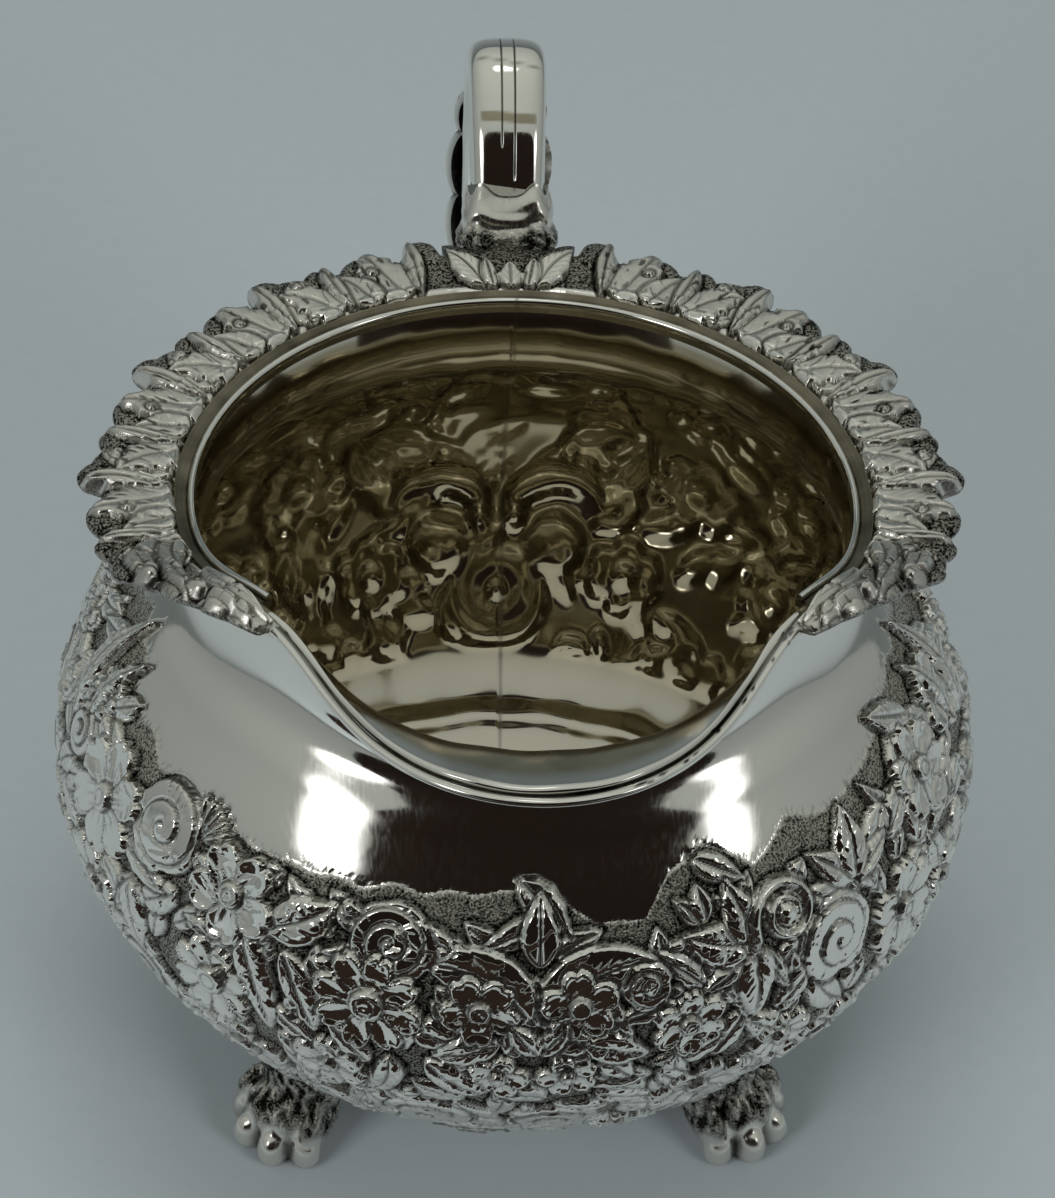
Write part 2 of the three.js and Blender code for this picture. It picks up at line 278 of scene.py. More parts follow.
def face_outwards(mesh: bpy.types.Mesh) -> None:
    """Turns a closed mesh's faces outwards.

    Args:
        mesh: A closed mesh whose faces all run the same way.
    """
    mesh.calc_loop_triangles()
    corners = np.empty(len(mesh.loop_triangles) * 3, np.int32)
    mesh.loop_triangles.foreach_get("vertices", corners)
    a, b, c = mesh_places(mesh)[corners.reshape(-1, 3)].transpose(1, 0, 2)
    if np.einsum("ij,ij->", a, np.cross(b, c)) < 0.0:
        mesh.flip_normals()


# Finishes


def srgb(code: str) -> tuple[float, float, float, float]:
    """Turns an sRGB colour to linear.

    Args:
        code: An sRGB hex value such as #c0c0c0.

    Returns:
        Linear red, green, blue and a solid alpha.
    """
    parts = [int(code[i : i + 2], 16) / 255.0 for i in (1, 3, 5)]
    linear = [p / 12.92 if p <= 0.04045 else ((p + 0.055) / 1.055) ** 2.4 for p in parts]
    return (*linear, 1.0)


def add_node(tree: bpy.types.NodeTree, kind: str, settings: dict | None = None,
             links: dict | None = None) -> bpy.types.Node:
    """Adds one shader node.

    Args:
        tree: The material's or world's nodes.
        kind: The node's type name, without its ShaderNode start.
        settings: Values by property name, or by input name or number.
        links: Outputs of other nodes by input name or number.

    Returns:
        The node.
    """
    node = tree.nodes.new("ShaderNode" + kind)
    for key, value in (settings or {}).items():
        if isinstance(key, str) and hasattr(node, key):
            setattr(node, key, value)
        else:
            node.inputs[key].default_value = value
    for key, source in (links or {}).items():
        tree.links.new(source, node.inputs[key])
    return node


def blank_material(name: str) -> bpy.types.Material:
    """Makes a material with no nodes yet.

    Args:
        name: The material's name.

    Returns:
        The material.
    """
    made = bpy.data.materials.new(name)
    made.use_nodes = True
    made.node_tree.nodes.clear()
    return made


@dataclass(frozen=True)
class SilverFinish:
    """Sterling silver: pale and slightly warm, mirror bright where it is rubbed, with black-brown sulphide
    tarnish left where a cloth can't reach, and a dull punched grain where the ground was matted."""

    name: str
    colour: str = "#f3f1ea"
    tarnish: str = "#1b1712"
    matted: str = "#cbc8bd"
    inside: str = "#c4bba2"
    roughness: float = 0.07
    matted_roughness: float = 0.3
    inside_roughness: float = 0.11
    grain: float = 0.26
    grain_depth: float = 0.26
    wave_depth: float = 0.05
    wave_pitch: float = 9.0
    scratch_depth: float = 0.0012

    def material(self) -> bpy.types.Material:
        """Builds the finish's nodes.

        Returns:
            The material.
        """
        made = blank_material(self.name)
        tree = made.node_tree
        place = add_node(tree, "TexCoord").outputs["Object"]
        shade = {
            key: add_node(tree, "Attribute", {"attribute_name": key}).outputs["Fac"]
            for key in ("tarnish", "matting", "inside")
        }
        # Tarnish lies in patches about 7 mm across, and breaks up finely at its edges.
        patches = add_node(tree, "TexNoise", {"Scale": 1 / (7 * MM), "Detail": 5.0}, {"Vector": place})
        patchy = add_node(tree, "MapRange",
                          {"From Min": 0.3, "From Max": 0.7, "To Min": 0.65, "To Max": 1.15},
                          {"Value": patches.outputs["Fac"]})
        # The matting punch leaves pits about one grain apart, dark at the bottom and bright between.
        pits = add_node(tree, "TexNoise", {"Scale": 1 / (self.grain * MM), "Detail": 2.0},
                        {"Vector": place}).outputs["Fac"]
        hollow = add_node(tree, "MapRange", {"From Min": 0.56, "From Max": 0.4}, {"Value": pits}).outputs[0]
        dark_pits = add_node(tree, "Math", {"operation": "MULTIPLY"}, {0: hollow, 1: shade["matting"]})
        lines = add_node(tree, "Math", {"operation": "MULTIPLY"},
                         {0: shade["tarnish"], 1: patchy.outputs[0]})
        both = add_node(tree, "Math", {"operation": "MULTIPLY_ADD", 1: 0.85, "use_clamp": True},
                        {0: dark_pits.outputs[0], 2: lines.outputs[0]}).outputs[0]
        metal = add_node(tree, "Mix", {"data_type": "RGBA", 6: srgb(self.colour), 7: srgb(self.matted)},
                         {0: shade["matting"]}).outputs[2]
        metal = add_node(tree, "Mix", {"data_type": "RGBA", 7: srgb(self.inside)},
                         {0: shade["inside"], 6: metal}).outputs[2]
        colour = add_node(tree, "Mix", {"data_type": "RGBA", 7: srgb(self.tarnish)},
                          {0: both, 6: metal}).outputs[2]
        # Fine cleaning scratches make the bright metal a little uneven.
        stretched = add_node(tree, "Mapping", {"Scale": (1.0, 0.12, 0.35), "Rotation": (0.3, 0.5, 0.9)},
                             {"Vector": place}).outputs[0]
        scratches = add_node(tree, "TexNoise", {"Scale": 1 / (0.35 * MM), "Detail": 3.0},
                             {"Vector": stretched}).outputs["Fac"]
        least, most = 0.7 * self.roughness, 1.6 * self.roughness
        worn = add_node(tree, "MapRange",
                        {"From Min": 0.35, "From Max": 0.7, "To Min": least, "To Max": most},
                        {"Value": scratches}).outputs[0]
        dulled = add_node(tree, "Mix", {"data_type": "FLOAT", 3: self.matted_roughness},
                          {0: shade["matting"], 2: worn}).outputs[0]
        filmed = add_node(tree, "Mix", {"data_type": "FLOAT", 3: self.inside_roughness},
                          {0: shade["inside"], 2: dulled}).outputs[0]
        rough = add_node(tree, "Mix", {"data_type": "FLOAT", 3: 0.5}, {0: both, 2: filmed}).outputs[0]
        pressed = add_node(tree, "Math", {"operation": "MULTIPLY"}, {0: pits, 1: shade["matting"]})
        grain = add_node(tree, "Bump", {"Strength": 1.0, "Distance": self.grain_depth * MM},
                         {"Height": pressed.outputs[0]}).outputs[0]
        swell = add_node(tree, "TexNoise", {"Scale": 1 / (self.wave_pitch * MM), "Detail": 1.0},
                         {"Vector": place}).outputs["Fac"]
        waved = add_node(tree, "Bump", {"Strength": 1.0, "Distance": self.wave_depth * MM},
                         {"Height": swell, "Normal": grain}).outputs[0]
        normal = add_node(tree, "Bump", {"Strength": 1.0, "Distance": self.scratch_depth * MM},
                          {"Height": scratches, "Normal": waved}).outputs[0]
        shader = add_node(tree, "BsdfPrincipled", {"Metallic": 1.0},
                          {"Base Color": colour, "Roughness": rough, "Normal": normal})
        add_node(tree, "OutputMaterial", {}, {"Surface": shader.outputs[0]})
        return made


class Slot(Enum):
    """The record's finishes."""

    CHASED = "chased_silver"
    POLISHED = "polished_silver"
    CAST = "cast_silver"


# Hand-raised sheet, planished and polished: mirror bright, with faint waves left by the hammer.
CHASED_SHEET = SilverFinish("chased sterling sheet")
# Drawn wire and hollow castings polished on a mop: the brightest, with only cleaning scratches.
POLISHED_METAL = SilverFinish("polished sterling", wave_depth=0.012, roughness=0.06)
# Sand castings cleaned up with chasing tools: a coarser, darker grain, bright only on the high spots.
CAST_METAL = SilverFinish("cast and chased sterling", grain=0.3, grain_depth=0.25, roughness=0.17,
                          wave_depth=0.06, wave_pitch=3.0, colour="#efece4")


@dataclass
class Workbench:
    """Puts finished meshes in the shared frame, in place of the nodes they stand for."""

    finishes: dict[Slot, bpy.types.Material] = field(default_factory=dict)
    middle: tuple[float, float] = (0.0, 0.0)

    def __post_init__(self) -> None:
        """Finds the jug's axis, under the middle of its base, and makes the three finishes."""
        low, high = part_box("base_disc")
        self.middle = ((low[0] + high[0]) / 2, (low[1] + high[1]) / 2)
        self.finishes = {
            Slot.CHASED: CHASED_SHEET.material(),
            Slot.POLISHED: POLISHED_METAL.material(),
            Slot.CAST: CAST_METAL.material(),
        }

    def framed(self, places: np.ndarray) -> np.ndarray:
        """Places on the jug's axis in millimetres, moved to the frame in metres."""
        return places * MM + np.array([*self.middle, 0.0])

    def box(self, node: str) -> tuple[np.ndarray, np.ndarray]:
        """Measures a node.

        Args:
            node: Its name.

        Returns:
            Its lowest and highest corners from the jug's axis, in millimetres.
        """
        low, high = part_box(node)
        shift = np.array([*self.middle, 0.0])
        return (np.array(low) - shift) / MM, (np.array(high) - shift) / MM

    def put(self, name: str, mesh: bpy.types.Mesh, slot: Slot, node: str) -> bpy.types.Object:
        """Links a finished piece that stands for a node.

        Args:
            name: The piece's name.
            mesh: Its mesh, in the frame.
            slot: Which finish it has.
            node: The node it stands for.

        Returns:
            The piece.
        """
        piece = linked(name, mesh)
        mesh.materials.append(self.finishes[slot])
        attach(piece, BODY)
        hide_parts(node)
        LOG.info("%s: %d faces, %s", name, len(mesh.polygons), slot.value)
        return piece


# The jug's outline


@dataclass(frozen=True)
class JugOutline:
    """The raised sheet as (radius, height) stations from the base up: a collar at the sides and back, and a
    lip drawn out in front."""

    belly: tuple[Point, ...] = (
        (25.5, 8.2), (33.0, 11.0), (41.6, 19.2), (49.4, 29.8), (53.2, 38.0),
        (54.0, 44.5), (53.0, 52.4), (49.2, 60.0), (43.8, 65.9),
    )
    collar: tuple[Point, ...] = ((40.0, 69.3), (38.2, 72.4), (38.1, 75.6), (39.3, 78.6))
    lip: tuple[Point, ...] = ((40.6, 69.6), (40.9, 73.2), (45.4, 77.2), (53.2, 79.0))
    sheet: float = 0.8
    lip_half_angle: float = math.radians(48.0)
    shoulder_rise: float = 5.0
    shoulder_spread: float = math.radians(20.0)
    lip_rise: float = 2.7
    climb_from: float = 60.0

    @property
    def rim_height(self) -> float:
        """Height of the sheet's edge at the sides and back."""
        return self.collar[-1][1]

    def lip_share(self, turn: np.ndarray) -> np.ndarray:
        """1 at the middle of the lip, 0 past its ends."""
        share = np.minimum(np.abs(wrapped(turn)) / self.lip_half_angle, 1.0)
        return 0.5 * (1.0 + np.cos(math.pi * share))

    def rise(self, turn: np.ndarray) -> np.ndarray:
        """How far the edge stands above the rim's height."""
        past = (np.abs(wrapped(turn)) - self.lip_half_angle) / self.shoulder_spread
        return self.lip_rise * self.lip_share(turn) + self.shoulder_rise * np.exp(-(past**2))

    def rim_radius(self, turn: np.ndarray) -> np.ndarray:
        """Radius of the middle of the sheet's edge."""
        return between(self.collar[-1][0], self.lip[-1][0], self.lip_share(turn)) - self.sheet / 2

    def rim_z(self, turn: np.ndarray) -> np.ndarray:
        """Height of the middle of the sheet's edge."""
        drop = self.lip[-1][1] - self.rim_height
        return self.rim_height + self.rise(turn) + drop * self.lip_share(turn)

    def measured(self) -> tuple[np.ndarray, np.ndarray]:
        """Measures along the sheet from base to rim.

        Returns:
            Closely spaced station numbers, and the distance to each in millimetres.
        """
        fine = np.linspace(0.0, len(self.belly) + len(self.collar) - 1, 1200)
        line = smooth_line(self.belly + self.collar, fine)
        return fine, np.concatenate([[0.0], np.cumsum(np.hypot(*np.diff(line, axis=0).T))])

    def stations(self, lengths: np.ndarray) -> np.ndarray:
        """Station numbers at lengths along the sheet from the base, in millimetres."""
        fine, run = self.measured()
        return np.interp(lengths, run, fine)

    @property
    def length(self) -> float:
        """Length of the sheet from base to rim, in millimetres."""
        return float(self.measured()[1][-1])

    def radius_at(self, length: float) -> float:
        """The body's radius at a length along the sheet."""
        place = self.stations(np.array([length]))
        return float(smooth_line(self.belly + self.collar, place)[0, 0])

    def skin(self, lengths: np.ndarray, turn: np.ndarray) -> tuple[np.ndarray, ...]:
        """The outside of the plain sheet.

        Args:
            lengths: Along the sheet from the base, in millimetres.
            turn: Angles from the front.

        Returns:
            Radius, height and the two parts of the outward direction, (turns, lengths) each.
        """
        place = self.stations(lengths)
        collar = smooth_line(self.belly + self.collar, place)
        lip = smooth_line(self.belly + self.lip, place)
        share = self.lip_share(turn)[:, None]
        radius = between(collar[:, 0], lip[:, 0], share)
        climb = ease(self.climb_from, self.rim_height, collar[:, 1])
        height = between(collar[:, 1], lip[:, 1], share) + self.rise(turn)[:, None] * climb
        out, up = np.gradient(radius, lengths, axis=1), np.gradient(height, lengths, axis=1)
        size = np.hypot(out, up)
        return radius, height, up / size, -out / size

    def belly_height(self, radius: np.ndarray) -> np.ndarray:
        """Height of the belly's underside at a radius."""
        line = smooth_line(self.belly, np.linspace(0.0, 5.0, 200))
        return np.interp(radius, line[:, 0], line[:, 1])

    def belly_radius(self, height: np.ndarray) -> np.ndarray:
        """Radius of the belly at a height."""
        line = smooth_line(self.belly, np.linspace(0.0, len(self.belly) - 1, 400))
        return np.interp(height, line[:, 1], line[:, 0])


# Chased ornament


class Motif(Protocol):
    """One chased figure. Its worked method takes places about its middle and gives how far inside its edge
    they are, how high its top stands there and how strongly a tool has cut there."""

    @property
    def reach(self) -> float:
        """How far from its middle the figure can lie."""

    def worked(self, x: np.ndarray, y: np.ndarray) -> Worked:
        """The figure's edge distance, top and cuts at places in millimetres."""


@dataclass(frozen=True)
class RoundFigure:
    """A figure that fits in a circle."""

    radius: float

    @property
    def reach(self) -> float:
        """The circle and the groove round it."""
        return self.radius + 1.0


@dataclass(frozen=True)
class Flower(RoundFigure):
    """An open flower: rounded dished petals, short cuts round a ringed boss."""

    petals: int = 5
    boss: float = 0.27
    height: float = 1.15

    def worked(self, x: np.ndarray, y: np.ndarray) -> Worked:
        """Petals, then the boss in the middle.

        Args:
            x, y: Millimetres about its middle.

        Returns:
            Its edge distance, top and cuts there.
        """
        far, way = np.hypot(x, y), np.arctan2(y, x)
        sector = way * self.petals / math.tau
        off = sector - np.floor(sector) - 0.5
        across = off * math.tau / self.petals * far
        half = math.pi / self.petals * far + 0.05
        outline = self.radius * (1.0 - 0.36 * (2.0 * np.abs(off)) ** 2.6 - 0.10 * bell(off, 0.06))
        edge = outline - far
        run = np.clip(far / self.radius, 0.0, 1.0)
        hollow = 0.42 * bell(across, 0.5 * self.radius * math.pi / self.petals) * np.sin(math.pi * run)
        top = self.height * (0.72 + 0.25 * run) - hollow + 0.2 * bell(edge - 0.5, 0.35)
        split = bell(half - np.abs(across), 0.17)
        veins = ease(0.35, 0.95, np.cos(across * math.tau / (0.16 * self.radius)))
        veins = veins * ease(0.66, 0.36, run) * 0.4
        cut = np.maximum(split, veins)
        middle = self.boss * self.radius
        dome = np.sqrt(np.clip(1.0 - (far / middle) ** 2, 0.0, 1.0))
        in_boss = ease(middle + 0.1, middle - 0.1, far)
        top = between(top, self.height * 0.85 + 0.5 * dome - 0.3 * bell(far, 0.4 * middle), in_boss)
        ring = np.maximum(bell(far - middle, 0.17), 0.7 * bell(far - 0.5 * middle, 0.12))
        cut = between(cut, ring, in_boss)
        cut = np.maximum(cut, bell(far - middle, 0.17))
        return edge, top, cut


@dataclass(frozen=True)
class Rose(RoundFigure):
    """A rose seen from above: its petals wind in to the middle."""

    turns: float = 2.4
    height: float = 1.2

    def worked(self, x: np.ndarray, y: np.ndarray) -> Worked:
        """A winding ridge inside a five-lobed edge.

        Args:
            x, y: Millimetres about its middle.

        Returns:
            Its edge distance, top and cuts there.
        """
        far, way = np.hypot(x, y), np.arctan2(y, x)
        edge = self.radius * (0.93 + 0.07 * np.abs(np.cos(2.5 * way))) - far
        pitch = self.radius / (self.turns + 0.4)
        wind = far / pitch - way / math.tau
        off = wind - np.floor(wind)
        seam = np.minimum(off, 1.0 - off) * pitch
        top = self.height * (0.62 + 0.38 * (1.0 - far / self.radius)) + 0.3 * off - 0.15
        cut = bell(seam, 0.19) * ease(0.1, 0.5, far)
        petal_ends = bell(np.abs(np.sin(2.5 * way)) * far, 0.16) * ease(0.62, 0.72, far / self.radius)
        return edge, top, np.maximum(cut, 0.8 * petal_ends)


class LeafEdge(Enum):
    """How a leaf's edge runs."""

    PLAIN = 0.0
    WAVED = 0.12
    LOBED = 0.3


@dataclass(frozen=True)
class Leaf:
    """A leaf along an arc from its stalk: two dished halves on a midrib, with side veins."""

    length: float
    half_width: float
    curl: float = 0.0
    edge: LeafEdge = LeafEdge.PLAIN
    height: float = 0.95
    blunt: float = 0.75
    veins: float = 0.38

    @property
    def reach(self) -> float:
        """The whole leaf, from its stalk."""
        return self.length + 1.2

    def worked(self, x: np.ndarray, y: np.ndarray) -> Worked:
        """Straightens the arc, then works the leaf on it.

        Args:
            x, y: Millimetres about its middle.

        Returns:
            Its edge distance, top and cuts there.
        """
        if abs(self.curl) > 1e-3:
            bend = math.radians(self.curl) / self.length
            centre = 1.0 / bend
            sign = math.copysign(1.0, bend)
            spin = np.arctan2(x, (centre - y) * sign)
            run = spin / abs(bend)
            off = (abs(centre) - np.hypot(x, centre - y)) * sign
        else:
            run, off = x, y
        share = np.clip(run / self.length, 0.0, 1.0)
        width = self.half_width * np.sin(math.pi * share**self.blunt) ** 0.8
        lobes = max(3.0, round(self.length / 2.1))
        width = width * (1.0 - self.edge.value * np.abs(np.cos(math.pi * lobes * share)))
        beside = np.abs(off)
        edge = np.minimum(np.minimum(width - beside, run + 0.2), self.length - run)
        part = np.clip(beside / (width + 0.05), 0.0, 1.2)
        fold = 0.10 * np.sign(off) * part
        top = self.height * (0.74 + 0.26 * np.sin(math.pi * share)) + 0.16 * np.sin(math.pi * part) - fold
        rib = bell(off, 0.15) * ease(0.0, 0.08, share) * ease(0.97, 0.8, share)
        slant = (run - beside * 1.3) / 1.25
        side = bell((slant - np.floor(slant) - 0.5) * 1.25, 0.12)
        side = side * self.veins * ease(0.92, 0.7, part) * ease(0.12, 0.3, part)
        return edge, top, np.maximum(rib, side)


@dataclass(frozen=True)
class Scroll:
    """A scroll that winds in to an eye, thinner as it winds."""

    radius: float
    turns: float = 1.6
    half_width: float = 1.0
    hand: float = 1.0
    height: float = 1.2

    @property
    def reach(self) -> float:
        """The outermost winding."""
        return self.radius + self.half_width + 1.0

    def worked(self, x: np.ndarray, y: np.ndarray) -> Worked:
        """A band along a spiral, and its eye.

        Args:
            x, y: Millimetres about its middle.

        Returns:
            Its edge distance, top and cuts there.
        """
        far, way = np.hypot(x, y) + 1e-6, np.arctan2(y * self.hand, x) % math.tau
        shrink = math.log(self.radius / (0.22 * self.radius)) / (self.turns * math.tau)
        wanted = -np.log(far / self.radius) / shrink
        lap = np.round((wanted - way) / math.tau)
        wound = np.clip(way + math.tau * lap, 0.0, self.turns * math.tau)
        taper = self.half_width * (1.0 - 0.55 * wound / (self.turns * math.tau))
        on_band = np.abs(way + math.tau * lap - wound) * far
        off = np.hypot(far - self.radius * np.exp(-shrink * wound), on_band)
        eye = 0.26 * self.radius - far
        edge = np.maximum(taper - off, eye)
        top = self.height * (0.7 + 0.3 * np.sqrt(np.clip(1.0 - (off / taper) ** 2, 0.0, 1.0)))
        cut = np.where(eye > 0.0, 0.0, bell(off - 0.55 * taper, 0.13) * 0.8)
        return edge, np.where(eye > 0.0, self.height + 0.15, top), cut


@dataclass(frozen=True)
class Fan(RoundFigure):
    """A fluted fan or shell spreading from a point."""

    spread: float = 110.0
    flutes: int = 6
    height: float = 1.0

    def worked(self, x: np.ndarray, y: np.ndarray) -> Worked:
        """Flutes inside a scalloped edge, about the way x runs.

        Args:
            x, y: Millimetres about its middle.

        Returns:
            Its edge distance, top and cuts there.
        """
        far, way = np.hypot(x, y), np.degrees(np.arctan2(y, x))
        flute = (way / self.spread + 0.5) * self.flutes
        off = flute - np.floor(flute) - 0.5
        edge = np.minimum(self.radius * (1.0 - 0.16 * (2 * off) ** 2) - far,
                          np.radians(self.spread / 2 - np.abs(way)) * far)
        top = self.height * (0.6 + 0.4 * np.cos(math.pi * off)) * ease(-0.1, 0.5, far / self.radius)
        cut = bell((0.5 - np.abs(off)) * math.radians(self.spread) / self.flutes * far, 0.14)
        return edge, top, cut * ease(0.2, 0.35, far / self.radius)


@dataclass(frozen=True)
class Bead(RoundFigure):
    """A round boss, such as a berry, an eye or the tip of a stem."""

    height: float = 1.2
    pricked: float = 0.0

    def worked(self, x: np.ndarray, y: np.ndarray) -> Worked:
        """A dome, with a pricked middle where asked.

        Args:
            x, y: Millimetres about its middle.

        Returns:
            Its edge distance, top and cuts there.
        """
        far = np.hypot(x, y)
        dome = np.sqrt(np.clip(1.0 - 0.8 * (far / self.radius) ** 2, 0.0, 1.0))
        return self.radius - far, self.height * dome, self.pricked * bell(far, 0.3 * self.radius)


@dataclass(frozen=True)
class Placed:
    """A figure at an angle or distance along the sheet, a height up it, and a heading."""

    motif: Motif
    along: float
    up: float
    heading: float = 0.0


@dataclass
class ChasedSheet:
    """The relief of a sheet or casting: height, tarnish and matting over a grid of places.

    Args:
        along: Angle in radians if it goes round the jug, or millimetres, one value to each column.
        up: Millimetres up the sheet, (columns, rows).
        outline: The jug's outline, for a sheet that goes round it.
        outline_depth: How deep the groove round each figure is, in millimetres.
        edge_round: How far in from its edge a figure is rounded, in millimetres.
    """

    along: np.ndarray
    up: np.ndarray
    outline: JugOutline | None = None
    outline_depth: float = 0.2
    edge_round: float = 0.75

    def __post_init__(self) -> None:
        """Starts with a bare sheet."""
        self.height = np.zeros(self.up.shape)
        self.tarnish = np.zeros(self.up.shape)
        self.matting = np.zeros(self.up.shape)

    def strike(self, placed: Placed) -> None:
        """Works one figure into the relief.

        Args:
            placed: The figure and where it goes.
        """
        motif = placed.motif
        if self.outline:
            radius = self.outline.radius_at(placed.up)
            x_all = wrapped(self.along - math.radians(placed.along)) * radius
        else:
            x_all = self.along - placed.along
        columns = np.nonzero(np.abs(x_all) < motif.reach)[0]
        if not len(columns):
            return
        near = np.abs(self.up[columns] - placed.up) < motif.reach
        rows = np.nonzero(near.any(axis=0))[0]
        if not len(rows):
            return
        spot = np.ix_(columns, rows)
        x, y = x_all[columns][:, None], self.up[spot] - placed.up
        cos, sin = math.cos(math.radians(placed.heading)), math.sin(math.radians(placed.heading))
        edge, top, cut = motif.worked(x * cos + y * sin, y * cos - x * sin)
        inside = ease(-0.14, 0.14, edge)
        rounded = np.clip(edge / self.edge_round, 0.0, 1.0)
        rounded = np.sqrt(rounded * (2.0 - rounded))
        under = self.height[spot]
        raised = top * (0.25 + 0.75 * rounded) - 0.24 * cut + 0.22 * np.clip(under, 0.0, 1.2)
        groove = bell(edge + 0.2, 0.22)
        self.height[spot] = between(under - self.outline_depth * groove, raised, inside)
        shaded = np.maximum(self.tarnish[spot], 0.95 * groove)
        self.tarnish[spot] = between(shaded, 0.9 * np.clip(cut, 0.0, 1.0), inside)
        self.matting[spot] *= 1.0 - inside

    def strike_all(self, figures: Iterable[Placed]) -> None:
        """Works figures in order, later ones over earlier ones."""
        for placed in figures:
            self.strike(placed)


# What is chased where: angles in degrees from the front, lengths up the sheet in millimetres


def plain(length: float, half_width: float, curl: float = 0.0) -> Leaf:
    """A plain-edged leaf."""
    return Leaf(length, half_width, curl)


def waved(length: float, half_width: float, curl: float = 0.0) -> Leaf:
    """A leaf with a waved edge."""
    return Leaf(length, half_width, curl, LeafEdge.WAVED)


FRONT_SPRAY: tuple[Placed, ...] = (
    Placed(plain(8.0, 2.2), -3.9, 50.0, 200.0),
    Placed(plain(8.0, 2.2), 6.0, 50.0, -20.0),
    Placed(Leaf(15.0, 3.7, 70.0, veins=0.2), -0.6, 53.8, 122.0),
    Placed(Leaf(15.0, 3.7, -70.0, veins=0.2), 1.2, 53.8, 58.0),
    Placed(Rose(3.0, 1.6), 13.4, 56.6, 40.0),
    Placed(Leaf(6.5, 1.9, 40.0, veins=0.2), -10.2, 61.2, 150.0),
    Placed(Flower(4.7, 5), -6.4, 54.5, 15.0),
    Placed(Flower(4.7, 5), 5.3, 55.1, 60.0),
    Placed(plain(5.6, 1.5), 0.6, 48.4, 55.0),
    Placed(plain(5.6, 1.5), 0.6, 48.4, 125.0),
    Placed(Leaf(8.4, 2.2, veins=0.0), 0.5, 59.8, 90.0),
    Placed(Flower(3.6, 5), -4.0, 44.6, 40.0),
    Placed(Flower(3.6, 5), 4.2, 44.8, 0.0),
)

LEFT_SPRAY: tuple[Placed, ...] = (
    Placed(waved(12.0, 2.0, 20.0), -29.8, 43.0, -20.0),
    Placed(plain(9.0, 2.0, 30.0), -12.5, 46.4, -50.0),
    Placed(plain(9.0, 1.8, -60.0), -17.0, 46.0, -80.0),
    Placed(plain(14.0, 2.3, -18.0), -37.0, 57.0, -62.0),
    Placed(plain(11.0, 2.1, -18.0), -31.0, 56.4, -56.0),
    Placed(plain(9.0, 2.2, 10.0), -55.8, 52.4, -80.0),
    Placed(waved(8.0, 2.4), -57.5, 57.2, 20.0),
    Placed(waved(8.0, 2.2), -57.5, 57.0, -15.0),
    Placed(Fan(5.2, 100.0, 6), -47.0, 62.8, 60.0),
    Placed(plain(9.5, 2.9, 25.0), -33.6, 58.4, 22.0),
    Placed(Rose(5.1), -17.7, 60.8, 0.0),
    Placed(Flower(6.6, 8, 0.3, 1.25), -19.7, 53.2, 10.0),
    Placed(Rose(5.6, 1.9), -52.3, 61.8, 40.0),
    Placed(Flower(5.8, 8, 0.33), -40.7, 47.6, 0.0),
    Placed(Flower(4.6, 6), -24.6, 41.8, 0.0),
    Placed(Flower(6.1, 5, 0.26, 1.2), -39.3, 59.8, 18.0),
    Placed(Flower(7.4, 6, 0.24, 1.3), -64.4, 58.2, 0.0),
    Placed(Bead(1.1, 0.9, 1.0), -23.4, 63.6),
    Placed(Bead(1.1, 0.9, 1.0), -29.5, 49.6),
)

RIGHT_SPRAY: tuple[Placed, ...] = (
    Placed(plain(8.0, 1.5), 27.5, 57.8, 208.0),
    Placed(plain(8.0, 1.4), 27.5, 57.8, -60.0),
    Placed(plain(9.5, 2.3), 27.5, 57.8, -92.0),
    Placed(plain(7.0, 1.5), 44.0, 59.5, 20.0),
    Placed(plain(8.0, 1.8), 44.0, 59.5, 135.0),
    Placed(plain(8.6, 2.3), 44.0, 59.5, 80.0),
    Placed(waved(9.0, 2.5), 56.3, 57.0, 60.0),
    Placed(waved(8.0, 2.2), 66.5, 68.6, 150.0),
    Placed(plain(4.6, 1.4), 21.5, 62.5, 135.0),
    Placed(plain(4.6, 1.4), 21.5, 62.5, 95.0),
    Placed(plain(9.2, 2.6, -18.0), 27.5, 58.2, 167.0),
    Placed(plain(8.6, 2.2), 27.5, 58.2, 106.0),
    Placed(Bead(1.2, 1.1), 27.5, 58.0),
    Placed(Flower(4.7, 6), 18.6, 50.4, 0.0),
    Placed(Leaf(9.0, 2.2, 40.0), 36.0, 50.0, -70.0),
    Placed(Rose(5.6, 2.0), 39.8, 53.8, 90.0),
    Placed(Scroll(4.5, 2.2, 0.95, -1.0), 32.5, 60.2, 200.0),
    Placed(Flower(6.0, 6, 0.28), 62.7, 63.2, 10.0),
    Placed(Flower(6.4, 6, 0.26, 1.25), 52.5, 50.5, 0.0),
)

